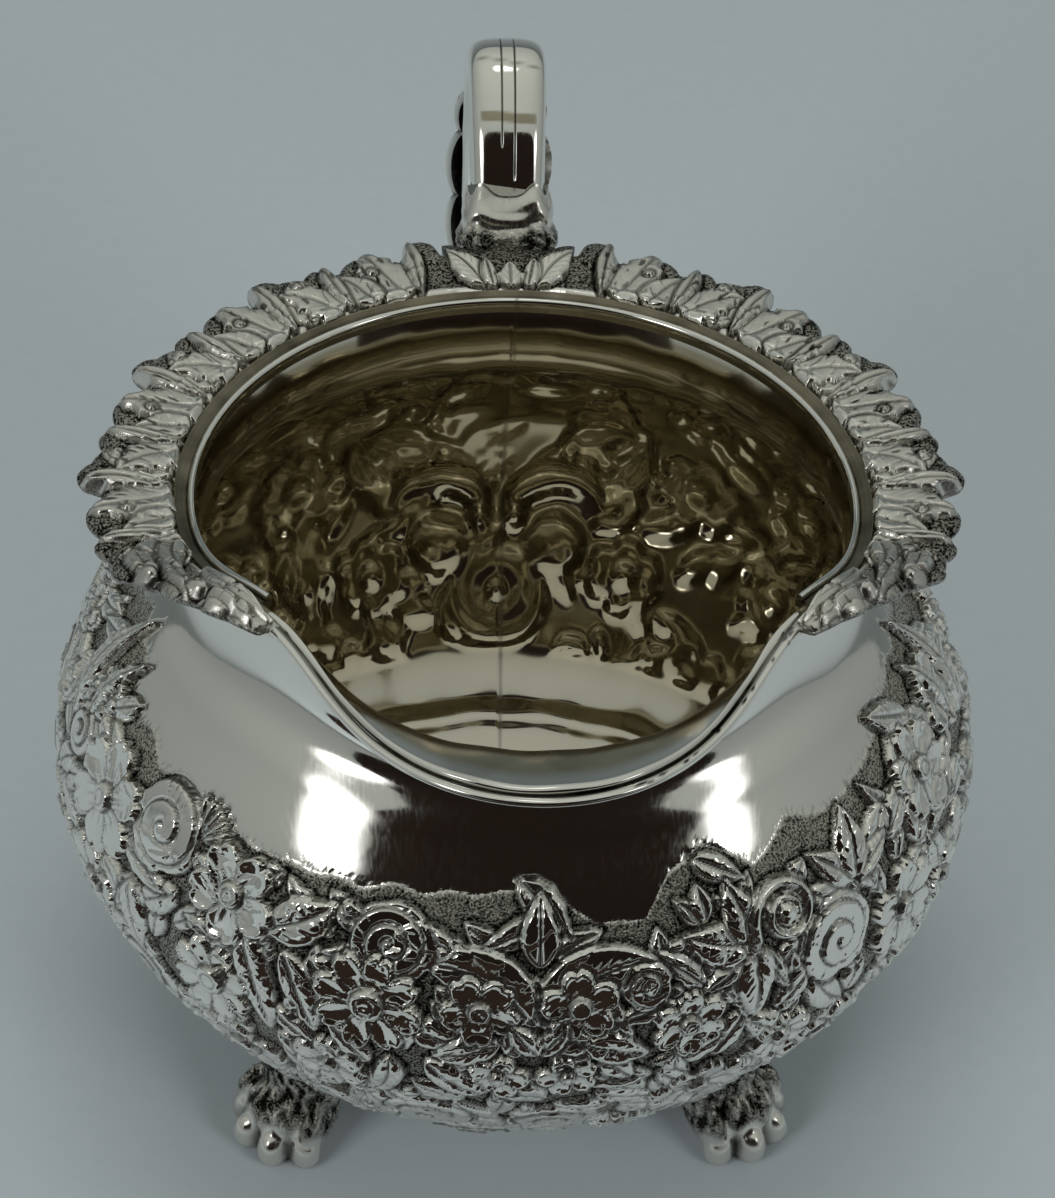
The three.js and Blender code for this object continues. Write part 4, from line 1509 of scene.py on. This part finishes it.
@dataclass
class ScrollHandle:
    """The hollow handle cast in two halves, with its leaf, its socket in the border and its lower pad."""

    bench: Workbench
    outline: JugOutline
    border: CastBorder
    half_width: float = 5.0
    half_depth: float = 3.2
    squareness: float = 0.6
    wall: float = 1.1
    gap: float = 0.3
    leaf_thickness: float = 1.3
    socket_end: float = 0.11
    tail_start: float = 0.84
    leaf_from: float = 0.42
    leaf_to: float = 0.78
    engraved_at: float = 0.85
    engraved_depth: float = 0.16
    cross_line: float = 0.262
    dull_band: float = 0.198

    def __post_init__(self) -> None:
        """Lays the handle's line through its stations, its back set by the leaf's own box."""
        _, high = self.bench.box("handle_leaf_cap")
        back = float(high[1]) - self.leaf_thickness - self.gap - self.half_depth
        stations = np.array([
            (51.6, 75.4), (54.0, 79.6), (57.2, 85.3), (62.0, 91.8), (67.0, 95.2), (72.4, 92.8),
            (back - 0.8, 86.4), (back, 78.2), (74.0, 68.4), (68.8, 60.0), (63.0, 54.0), (59.6, 49.4),
            (59.8, 44.8), (62.8, 42.2), (66.0, 43.2),
        ])
        ends = np.vstack([2 * stations[0] - stations[1], stations, 2 * stations[-1] - stations[-2]])
        spans = np.hypot(*np.diff(ends, axis=0).T) ** 0.5
        parts = []
        for i in range(1, len(ends) - 2):
            a, b, c, d = ends[i - 1 : i + 3]
            first, span, last = spans[i - 1 : i + 2]
            leave = ((b - a) / first - (c - a) / (first + span) + (c - b) / span) * span
            arrive = ((c - b) / span - (d - b) / (span + last) + (d - c) / last) * span
            s = np.linspace(0.0, 1.0, 40, endpoint=False)[:, None]
            parts.append(b + leave * s + (3 * (c - b) - 2 * leave - arrive) * s**2
                         + (2 * (b - c) + leave + arrive) * s**3)
        self.line = np.vstack([*parts, stations[-1:]])
        self.run = np.concatenate([[0.0], np.cumsum(np.hypot(*np.diff(self.line, axis=0).T))])

    def frame_at(self, share: np.ndarray) -> tuple[np.ndarray, np.ndarray]:
        """Follows the handle's line.

        Args:
            share: Shares of its length, from the socket.

        Returns:
            The places and the directions there, both as (y, z).
        """
        at = np.clip(share, 0.0, 1.0) * self.run[-1]
        place = np.stack([np.interp(at, self.run, self.line[:, k]) for k in (0, 1)], axis=-1)
        ahead = np.stack([np.interp(at + 0.5, self.run, self.line[:, k]) for k in (0, 1)], axis=-1)
        behind = np.stack([np.interp(at - 0.5, self.run, self.line[:, k]) for k in (0, 1)], axis=-1)
        way = ahead - behind
        return place, way / np.linalg.norm(way, axis=-1, keepdims=True)

    def beside(self, share: np.ndarray, across: np.ndarray, out: np.ndarray) -> np.ndarray:
        """Finds places beside the handle's line.

        Args:
            share: Shares of the line's length.
            across: Millimetres along X.
            out: Millimetres away from the finger gap.

        Returns:
            The places.
        """
        place, way = self.frame_at(share)
        shape = np.broadcast(across, out, share).shape
        y = place[..., 0] - way[..., 1] * out
        z = place[..., 1] + way[..., 0] * out
        return np.stack([np.broadcast_to(v, shape) for v in (across, y, z)], axis=-1)

    def swell(self, share: np.ndarray) -> np.ndarray:
        """How thick the tube is along its length."""
        return 1.0 - 0.12 * (2.0 * share - 1.0) ** 2 - 0.4 * ease(self.tail_start, 1.0, share)

    def oblong(self, angle: np.ndarray, less: float = 0.0) -> tuple[np.ndarray, np.ndarray]:
        """The tube's rounded oblong section.

        Args:
            angle: 0 at its side and a quarter turn at its outer face.
            less: How much thinner than the tube it is, on every side.

        Returns:
            How far across and how far out each place is.
        """
        cos, sin = np.cos(angle), np.sin(angle)
        across = np.sign(cos) * np.abs(cos) ** self.squareness
        out = np.sign(sin) * np.abs(sin) ** self.squareness
        return (self.half_width - less) * across, (self.half_depth - less) * out

    def half(self, hand: int) -> None:
        """Casts one half of the tube, with a fine line engraved beside the joint.

        Args:
            hand: -1 for the left as the lip is faced, 1 for the right.
        """
        start = self.socket_end - 0.02
        share = np.concatenate([np.linspace(start, 0.94, 300), np.linspace(0.943, 1.0, 30)])[:, None]
        crown = np.arccos((np.linspace(0.0, 1.8, 46) / self.half_width) ** (1.0 / self.squareness))
        angle = np.concatenate([crown, np.linspace(crown[-1], -0.5 * math.pi, 50)[1:]])
        wide, deep = self.oblong(angle)
        line = bell(wide - self.engraved_at, 0.1) * (deep > 0.0)
        ends = ease(0.115, 0.13, share) if hand > 0 else ease(0.163, 0.167, share)
        engraved = line * ends * ease(0.62, 0.58, share)
        slope = (share - self.cross_line) * self.run[-1] + 0.12 * hand * wide
        cross = bell(slope, 0.1) * (deep > 0.2) * ease(4.9, 4.2, wide)
        engraved = np.maximum(engraved, 0.6 * cross)
        dull = (share - self.dull_band) * self.run[-1] + 0.06 * hand * wide
        band = ease(0.62, 0.42, np.abs(dull)) * (deep > 0.2) * ease(3.7, 3.5, wide) * 0.24
        closing = 1.0 - ease(0.975, 1.0, share) ** 2 * 0.72
        swell = self.swell(share) * closing
        outer = self.beside(share, hand * wide * swell, deep * swell - self.engraved_depth * engraved)
        inner_wide, inner_deep = self.oblong(angle[::6], self.wall)
        inner = self.beside(share, hand * inner_wide * swell, inner_deep * swell)
        rings = np.concatenate([outer, inner[:, ::-1]], axis=1)
        shade = np.concatenate([np.maximum(engraved, band), np.zeros(inner.shape[:2])], axis=1)
        side = "left" if hand < 0 else "right"
        olive = np.concatenate([4.0 * band, np.zeros(inner.shape[:2])], axis=1)
        mesh = ring_mesh(f"handle_{side}", self.bench.framed(rings), {"tarnish": shade, "inside": olive})
        self.bench.put(f"handle_tube_{side}", mesh, Slot.POLISHED, f"handle_half_{side}")

    def leaf(self) -> None:
        """The leaf over the handle's back, with rounded lobes down each edge."""
        share = np.linspace(self.leaf_from, self.leaf_to, 260)[:, None]
        along = (share - self.leaf_from) / (self.leaf_to - self.leaf_from)
        across = np.linspace(-1.0, 1.0, 96)
        lobes = 4.0
        lobe = np.abs(np.sin(math.pi * lobes * along**0.9)) ** 0.6 * between(1.0, 0.6, along)
        swell = self.swell(share)
        clear = self.half_width * swell + 0.9
        at_edge = ease(0.72, 0.98, np.abs(across))
        wide = across * clear * (1.0 + 0.26 * lobe * at_edge)
        crown = self.leaf_thickness * np.sqrt(np.clip(1.0 - 0.72 * across**2, 0.0, 1.0))
        bulge = 0.9 * lobe * bell(np.abs(across) - 0.86, 0.26)
        rib = bell(across * clear, 0.22)
        slant = along * 26.0 - np.abs(across) * 5.0
        vein = bell((slant - np.floor(slant) - 0.5) * 1.5, 0.13) * ease(0.75, 0.5, np.abs(across))
        vein = vein * ease(0.06, 0.2, np.abs(across)) * ease(0.0, 0.1, along)
        tips = np.sqrt(np.clip(np.sin(math.pi * np.clip(along, 0.0, 1.0)), 0.0, 1.0))
        wrap = 2.5 * ease(0.78, 1.0, np.abs(across)) ** 1.5
        out = (crown + bulge) * (0.35 + 0.65 * tips) - wrap - 0.2 * np.maximum(rib, 0.6 * vein)
        base = self.half_depth * swell
        top = self.beside(share, wide * (0.55 + 0.45 * tips), base + out)
        under_wide = wide[:, ::4] * 0.9 * (0.55 + 0.45 * tips)
        under = self.beside(share, under_wide, base + (out[:, ::4] - 0.9) - 0.2)
        rings = np.concatenate([top, under[:, ::-1]], axis=1)
        gaps = ease(0.35, 0.05, lobe) * at_edge
        shade = np.maximum(np.maximum(0.9 * rib, 0.6 * vein), gaps)
        shade = np.concatenate([shade, np.full(under.shape[:2], 0.5)], axis=1)
        mesh = ring_mesh("handle_leaf", self.bench.framed(rings), {"tarnish": shade})
        self.bench.put("handle_leaf", mesh, Slot.POLISHED, "handle_leaf_cap")

    def socket_border(self) -> bpy.types.Mesh:
        """Casts the length of border that the handle rises from, with its own leaves.

        Returns:
            Its mesh.
        """
        border = self.border
        half = math.pi - border.end
        columns = 120
        turn = math.pi + np.linspace(-half, half, columns)
        along = (turn - math.pi) * BORDER_ROUND
        share = np.linspace(0.0, 1.0, 62)
        outer = 9.6 + 0.7 * np.cos(along * math.tau / 7.2)
        sheet = ChasedSheet(along, outer[:, None] * share, None, 0.4, 0.9)
        sheet.matting[:] = ease(1.0, 1.5, sheet.up)
        sheet.tarnish[:] = 0.5 * sheet.matting
        for hand in BOTH:
            sheet.strike_all([
                Placed(Leaf(8.5, 2.2, -20.0 * hand, LeafEdge.WAVED, 1.2), 3.6 * hand, 1.0,
                       90.0 - 24.0 * hand),
                Placed(Leaf(5.4, 1.2, height=1.2, veins=0.0), 2.4 * hand, 0.6, 90.0 - 8.0 * hand),
            ])
        sheet.strike_all([Placed(Leaf(4.6, 1.9, 0.0, LeafEdge.WAVED, 1.1), 0.0, 0.6, 90.0)])
        base = np.interp(share, *SOCKET_TOP)
        top = base + softened(sheet.height, 1, False) * 0.8 * ease(1.0, 0.93, share)
        under_share, under_up = np.array(SOCKET_UNDER)
        out_under = outer[:, None] * under_share
        out = np.concatenate([sheet.up, out_under], axis=1)
        blank = np.zeros(out_under.shape)
        rings = border.point(turn[:, None], out, np.concatenate([top, blank + under_up], axis=1))
        shades = {"tarnish": np.concatenate([sheet.tarnish, blank + 0.4], axis=1),
                  "matting": np.concatenate([sheet.matting, blank + 0.6], axis=1)}
        return ring_mesh("socket_border", self.bench.framed(rings), shades)

    def collar(self) -> bpy.types.Mesh:
        """Casts the collar round the handle's foot: rough below, smooth with a tongued edge above.

        Returns:
            Its mesh.
        """
        angle = np.linspace(0.0, math.tau, 121)[:-1]
        share = np.linspace(0.0, 1.0, 80)[:, None]
        tongues = 0.5 + 0.5 * np.cos(angle * 6.0)
        reach = self.socket_end * (0.92 + 0.14 * tongues)
        at = share * reach
        wide, deep = self.oblong(angle)
        low = ease(0.62, 0.42, share)
        thick = 0.1 + 0.45 * ease(1.0, 0.8, share) + 0.6 * low + 0.25 * bell(share - 0.68, 0.1)
        ridge = 0.25 * np.cos(angle * 12.0) * ease(0.1, 0.3, share) * low
        around, up = angle[None, :] * 4.5, at * self.run[-1]
        rough = 0.14 * waves(around, up, 1.3, 77) * low
        rough = rough + 0.12 * waves(around, up, 4.0, 78) * (1.0 - low) * ease(1.0, 0.8, share)
        taper = between(0.7, 1.0, ease(0.0, 0.34, share))
        grow = taper * (1.0 + (thick + ridge + rough) / self.half_width)
        deeper = taper * (1.0 + (thick + ridge + rough) / self.half_depth)
        rings = self.beside(at, wide * grow, deep * deeper)
        hollows = np.clip(0.5 - 0.5 * (ridge + rough) / 0.3, 0.15, 0.9)
        shades = {"tarnish": hollows * low + 0.06 * (1.0 - low),
                  "matting": 0.7 * low * np.ones(rings.shape[:2])}
        return ring_mesh("socket_collar", self.bench.framed(rings), shades)

    def socket(self) -> None:
        """The leafy casting that the handle rises from: a length of border and a collar."""
        bm = bmesh.new()
        bm.from_mesh(self.socket_border())
        bm.from_mesh(self.collar())
        self.bench.put("handle_socket", finished(bm, "handle_socket"), Slot.CAST, "handle_upper_socket")

    def lower_joint(self) -> None:
        """The oval pad between the belly and the handle."""
        low, high = self.bench.box("handle_lower_joint")
        centre = np.array([0.0, 53.6, (low[2] + high[2]) / 2])
        bm = bmesh.new()
        bmesh.ops.create_uvsphere(bm, u_segments=96, v_segments=64, radius=1.0)
        mesh = finished(bm, "handle_pad")
        unit = mesh_places(mesh)
        spin = np.arctan2(unit[:, 0], unit[:, 2])
        petals = 0.05 * np.abs(np.cos(spin * 5.0)) * ease(0.2, 0.7, np.hypot(unit[:, 0], unit[:, 2]))
        half = np.array([float(high[0] - low[0]) / 2, 5.0, float(high[2] - low[2]) / 2])
        places = centre + unit * half * (0.97 + petals[:, None])
        skin = self.outline.belly_radius(places[:, 2])
        far = np.hypot(places[:, 0], places[:, 1])
        push = np.maximum(skin + 0.25, far) / far
        places[:, :2] *= push[:, None]
        move_to(mesh, self.bench.framed(places))
        shade_with(mesh, "tarnish", 0.8 * bell(np.cos(spin * 5.0), 0.25))
        shade_smooth(mesh)
        self.bench.put("handle_pad", mesh, Slot.CAST, "handle_lower_joint")

    def build(self) -> None:
        """Makes the handle's five pieces."""
        self.half(-1)
        self.half(1)
        self.leaf()
        self.socket()
        self.lower_joint()


@dataclass
class PawFoot:
    """A cast paw: round bright toes, and a furred ankle that rises to the belly."""

    bench: Workbench
    outline: JugOutline
    around: float
    node: str
    voxel: float = 0.3
    balls: tuple[tuple[float, ...], ...] = (
        (-0.6, 0.0, 4.4, 5.8, 5.6, 5.2, 0.0), (-3.0, 0.0, 9.5, 5.0, 5.6, 7.5, 0.0),
        (-1.0, 4.4, 5.2, 4.4, 1.5, 3.6, 20.0), (-1.0, -4.4, 5.2, 4.4, 1.5, 3.6, -20.0),
    )
    toes: tuple[float, ...] = (-66.0, -22.0, 22.0, 66.0)
    knuckle: tuple[float, ...] = (2.3, 0.2, 2.9, 4.4, 3.4, 1.5, 2.5)
    tip: tuple[float, ...] = (4.1, 0.0, 4.7, 2.5, 2.9, 2.15, 2.9)

    def solids(self) -> list[tuple[float, ...]]:
        """Lists the rounded parts that make the paw.

        Returns:
            Each part as (forward, side, up, three half sizes, turn in degrees), toes last.
        """
        parts = list(self.balls)
        for ahead, back, wide, up, *half in (self.knuckle, self.tip):
            for turn in self.toes:
                cos, sin = math.cos(math.radians(turn)), math.sin(math.radians(turn))
                parts.append((ahead * cos - back, wide * sin, up, *half, turn))
        return parts

    def depth_in(self, places: np.ndarray, part: tuple[float, ...]) -> np.ndarray:
        """Measures about how far places are from a rounded part.

        Args:
            places: Points about the middle of the paw, in millimetres.
            part: One of the rounded parts.

        Returns:
            Millimetres from its surface, less than 0 inside.
        """
        forward, side, up, *half, turn = part
        cos, sin = math.cos(math.radians(turn)), math.sin(math.radians(turn))
        x, y, z = (places - np.array([forward, side, up])).T
        away = np.stack([x * cos + y * sin, y * cos - x * sin, z], axis=-1) / np.array(half)
        return (np.linalg.norm(away, axis=-1) - 1.0) * min(half)

    def build(self) -> None:
        """Joins the rounded parts into one casting, then works its surface."""
        bm = bmesh.new()
        for forward, side, up, *half, turn in self.solids():
            turned = Matrix.Rotation(math.radians(turn), 4, "Z")
            matrix = Matrix.Translation((forward, side, up)) @ turned @ Matrix.Diagonal((*half, 1.0))
            bmesh.ops.create_uvsphere(bm, u_segments=32, v_segments=20, radius=1.0, matrix=matrix)
        piece = linked(self.node, finished(bm, self.node))
        remesh = piece.modifiers.new("joined", "REMESH")
        remesh.mode = "VOXEL"
        remesh.voxel_size = self.voxel
        smooth = piece.modifiers.new("eased", "SMOOTH")
        smooth.iterations = 3
        depsgraph = bpy.context.evaluated_depsgraph_get()
        joined = bpy.data.meshes.new_from_object(piece.evaluated_get(depsgraph))
        bpy.data.objects.remove(piece)
        local = mesh_places(joined)
        parts = self.solids()
        near = np.sort(np.stack([self.depth_in(local, p) for p in parts[-4:]]), axis=0)
        groove = bell(near[1] - near[0], 0.9) * ease(5.5, 3.5, local[:, 2]) * ease(0.0, 2.0, local[:, 0])
        on_toe = ease(1.2, 0.2, near[0])
        fur = (1.0 - on_toe) * ease(2.6, 4.2, local[:, 2])
        spin = np.arctan2(local[:, 1], local[:, 0] + 4.0)
        tufts = waves(spin * 6.0, 0.35 * local[:, 2], 1.1, 5)
        tufts = tufts + 0.5 * waves(local[:, 0], local[:, 1] + local[:, 2], 1.2, 6)
        middle = np.array([-1.5, 0.0, 5.0])
        out = local - middle
        out /= np.linalg.norm(out, axis=-1, keepdims=True) + 1e-9
        local = local + out * (0.2 * fur * tufts - 0.35 * groove)[:, None]
        local[:, 2] = np.maximum(local[:, 2], 0.0)
        far = math.hypot(*self.centre())
        turned = np.arctan2(self.centre()[0], -self.centre()[1])
        forward, side = far + local[:, 0], local[:, 1]
        places = np.stack([forward * np.sin(turned) + side * np.cos(turned),
                           -forward * np.cos(turned) + side * np.sin(turned), local[:, 2]], axis=-1)
        radius = np.hypot(places[:, 0], places[:, 1])
        places[:, 2] = np.minimum(places[:, 2], self.outline.belly_height(radius) + 0.15)
        move_to(joined, self.bench.framed(places))
        # Dark in the grooves between the toes and in the fur, and darker towards the table in the lowest 2
        # mm.
        tarnish = 0.95 * groove + fur * (0.52 - 0.42 * tufts) + 0.25 * ease(2.0, 0.3, local[:, 2])
        shade_with(joined, "tarnish", np.clip(tarnish, 0.0, 1.0))
        shade_with(joined, "matting", 0.55 * fur)
        shade_smooth(joined)
        joined.name = self.node
        self.bench.put(self.node.replace("foot", "paw"), joined, Slot.CAST, self.node)

    def centre(self) -> tuple[float, float]:
        """Finds the middle of the paw on the table, on the side that its node is.

        Returns:
            Its place across and along, in millimetres.
        """
        low, high = self.bench.box(self.node)
        side = math.copysign(1.0, low[0] + high[0])
        front = -1.0 if "front" in self.node else 1.0
        angle = math.radians(47.0)
        return side * self.around * math.sin(angle), front * self.around * math.cos(angle)


# The studio


@dataclass(frozen=True)
class Studio:
    """A pale blue-grey paper sweep, soft lights and the camera."""

    paper: str = "#959ca0"
    camera_place: tuple[float, float, float] = (-23.3, -359.3, 351.2)
    camera_aim: tuple[float, float, float] = (0.92, -13.46, 64.33)
    roll: float = 2.6
    lens: float = 114.95
    sensor: float = 36.0
    lit_middle: tuple[float, float, float] = (0.0, 0.0, 0.05)

    def floor(self) -> None:
        """The paper: flat under the jug, curved up far behind it."""
        bm = bmesh.new()
        bmesh.ops.create_grid(bm, x_segments=60, y_segments=60, size=2.2)
        for vert in bm.verts:
            past = max(0.0, vert.co.y - 1.0)
            vert.co.z = 0.9 * past**2
        mesh = finished(bm, "paper_sweep")
        shade_smooth(mesh)
        sweep = linked("paper_sweep", mesh)
        # Matt card: no shine, and a faint fibre mottle about 3 mm across.
        card = blank_material("matt blue-grey card")
        tree = card.node_tree
        place = add_node(tree, "TexCoord").outputs["Object"]
        fibre = add_node(tree, "TexNoise", {"Scale": 1 / (3 * MM), "Detail": 4.0}, {"Vector": place})
        tint = add_node(tree, "Mix", {"data_type": "RGBA", 6: srgb(self.paper), 7: srgb("#90989b")},
                        {0: fibre.outputs["Fac"]}).outputs[2]
        shader = add_node(tree, "BsdfPrincipled", {"Roughness": 0.9}, {"Base Color": tint})
        add_node(tree, "OutputMaterial", {}, {"Surface": shader.outputs[0]})
        mesh.materials.append(card)

    def dark_card(self, name: str, centre: tuple[float, float, float], half: tuple[float, float],
                  tilt: float) -> None:
        """A dark rounded card, so that the bright metal has something dark to show.

        Args:
            name: Its name.
            centre: Its middle, in metres.
            half: Its half width and half height, in metres.
            tilt: Degrees it leans back from lying flat.
        """
        bm = bmesh.new()
        bmesh.ops.create_circle(bm, cap_ends=True, segments=48, radius=1.0)
        mesh = finished(bm, name)
        places = mesh_places(mesh)
        places = np.sign(places) * np.abs(places) ** 0.5 * np.array([*half, 1.0])
        lean = math.radians(tilt)
        across, up = places[:, 0], places[:, 1]
        upright = np.stack([across, -up * math.cos(lean), up * math.sin(lean)], axis=-1)
        move_to(mesh, upright + np.array(centre))
        made = blank_material("black felt")
        tree = made.node_tree
        shader = add_node(tree, "BsdfPrincipled", {"Base Color": srgb("#241c18"), "Roughness": 1.0,
                                                   "Specular IOR Level": 0.0})
        add_node(tree, "OutputMaterial", {}, {"Surface": shader.outputs[0]})
        mesh.materials.append(made)
        self.show_in_metal(linked(name, mesh))

    @staticmethod
    def show_in_metal(card: bpy.types.Object) -> None:
        """Hides a card from the camera, from diffuse light and from shadows, so that it only shows in the
        metal.

        Args:
            card: The card.
        """
        card.visible_camera = False
        card.visible_diffuse = False
        card.visible_shadow = False

    def light(self, name: str, place: tuple[float, float, float], size: tuple[float, float],
              power: float) -> None:
        """A soft rectangular light aimed at the jug.

        Args:
            name: Its name.
            place: Where it stands, in metres.
            size: Its width and height, in metres.
            power: Watts.
        """
        lamp = bpy.data.lights.new(name, "AREA")
        lamp.shape = "RECTANGLE"
        lamp.size, lamp.size_y = size
        lamp.energy = power
        holder = linked(name, lamp)
        holder.location = place
        aim = Vector(self.lit_middle) - Vector(place)
        holder.rotation_euler = aim.to_track_quat("-Z", "Y").to_euler()
        holder.visible_camera = False
        holder.visible_glossy = False

    def glow(self, name: str, place: tuple[float, float, float], size: tuple[float, float],
             strength: float) -> None:
        """A soft-edged bright card that only shows in the metal.

        Args:
            name: Its name.
            place: Its middle, in metres.
            size: Its half width and half height, in metres.
            strength: How bright its middle is.
        """
        bm = bmesh.new()
        bmesh.ops.create_grid(bm, x_segments=24, y_segments=24, size=1.0)
        aim = Vector(self.lit_middle) - Vector(place)
        turned = aim.to_track_quat("-Z", "Y").to_matrix().to_4x4()
        mesh = finished(bm, name)
        flat = mesh_places(mesh)
        shade_with(mesh, "glow", ease(1.0, 0.2, np.hypot(flat[:, 0], flat[:, 1])))
        turned.translation = place
        mesh.transform(turned @ Matrix.Diagonal((*size, 1.0, 1.0)))
        made = blank_material(f"{name} diffuser cloth")
        tree = made.node_tree
        fade = add_node(tree, "Attribute", {"attribute_name": "glow"}).outputs["Fac"]
        level = add_node(tree, "Math", {"operation": "MULTIPLY", 1: strength}, {0: fade}).outputs[0]
        bright = add_node(tree, "Emission", {"Color": srgb("#ffffff")}, {"Strength": level}).outputs[0]
        clear = add_node(tree, "BsdfTransparent").outputs[0]
        shown = add_node(tree, "MixShader", {}, {0: fade, 1: clear, 2: bright}).outputs[0]
        add_node(tree, "OutputMaterial", {}, {"Surface": shown})
        mesh.materials.append(made)
        self.show_in_metal(linked(name, mesh))

    def sky(self) -> None:
        """Even pale light from above, dimmer near the horizon."""
        world = bpy.data.worlds.new("studio")
        world.use_nodes = True
        tree = world.node_tree
        tree.nodes.clear()
        way = add_node(tree, "TexCoord").outputs["Generated"]
        up = add_node(tree, "SeparateXYZ", {}, {0: way}).outputs["Z"]
        ramp = add_node(tree, "ValToRGB", {}, {"Fac": up})
        stops = ramp.color_ramp
        stops.elements[0].position, stops.elements[0].color = 0.0, srgb("#858987")
        stops.elements[1].position, stops.elements[1].color = 1.0, srgb("#babcb5")
        for position, tone in ((0.35, "#949995"), (0.7, "#a5a9a4")):
            stops.elements.new(position).color = srgb(tone)
        back = add_node(tree, "Background", {"Strength": 1.0}, {"Color": ramp.outputs[0]})
        output = tree.nodes.new("ShaderNodeOutputWorld")
        tree.links.new(back.outputs[0], output.inputs[0])
        bpy.context.scene.world = world

    def camera(self) -> None:
        """A long lens looking down over the lip, turned a little about its own axis."""
        place, aim = (Vector(v) * MM for v in (self.camera_place, self.camera_aim))
        look = (aim - place).normalized()
        level = look.cross(Vector((0.0, 0.0, 1.0))).normalized()
        upward = level.cross(look)
        cos, sin = math.cos(math.radians(self.roll)), math.sin(math.radians(self.roll))
        right, up = level * cos + upward * sin, upward * cos - level * sin
        data = bpy.data.cameras.new("camera")
        data.lens = self.lens
        data.sensor_fit = "VERTICAL"
        data.sensor_height = self.sensor
        data.sensor_width = self.sensor
        data.clip_start = 0.02
        data.dof.use_dof = False
        holder = linked("camera", data)
        matrix = Matrix((right, up, -look)).transposed().to_4x4()
        matrix.translation = place
        holder.matrix_world = matrix
        bpy.context.scene.camera = holder

    def build(self) -> None:
        """Sets the stage."""
        bpy.context.scene.view_settings.view_transform = "Standard"
        self.floor()
        self.dark_card("dark_screen", (0.05, -0.56, 0.42), (0.595, 0.40), 66.0)
        self.dark_card("dark_table", (0.0, -0.51, 0.002), (0.34, 0.40), 0.0)
        self.sky()
        self.light("window_left", (-0.62, -0.72, 0.50), (0.34, 0.42), 6.0)
        self.light("window_right", (0.60, -0.78, 0.50), (0.34, 0.42), 5.0)
        self.light("overhead", (0.0, 0.25, 1.3), (1.0, 0.8), 8.0)
        self.glow("glow_left", (-0.53, -0.458, 0.452), (0.19, 0.13), 5.0)
        self.glow("glow_right", (0.566, -0.411, 0.43), (0.15, 0.12), 2.8)
        self.glow("glow_above", (0.0, 0.05, 1.0), (0.16, 0.16), 2.0)
        self.camera()


def main() -> None:
    """Loads the frame, makes every piece in order and sets the stage."""
    logging.basicConfig(level=logging.INFO, format="%(message)s")
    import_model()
    bench = Workbench()
    outline = JugOutline()
    Studio().build()
    ChasedBody(bench, outline).build()
    BaseDisc(bench).build()
    RimWires(bench, outline).build()
    border = CastBorder(bench, outline)
    border.build()
    ScrollHandle(bench, outline, border).build()
    for end in ("front", "back"):
        for side in ("left", "right"):
            PawFoot(bench, outline, 37.2, f"foot_{end}_{side}").build()


if __name__ == "__main__":
    main()
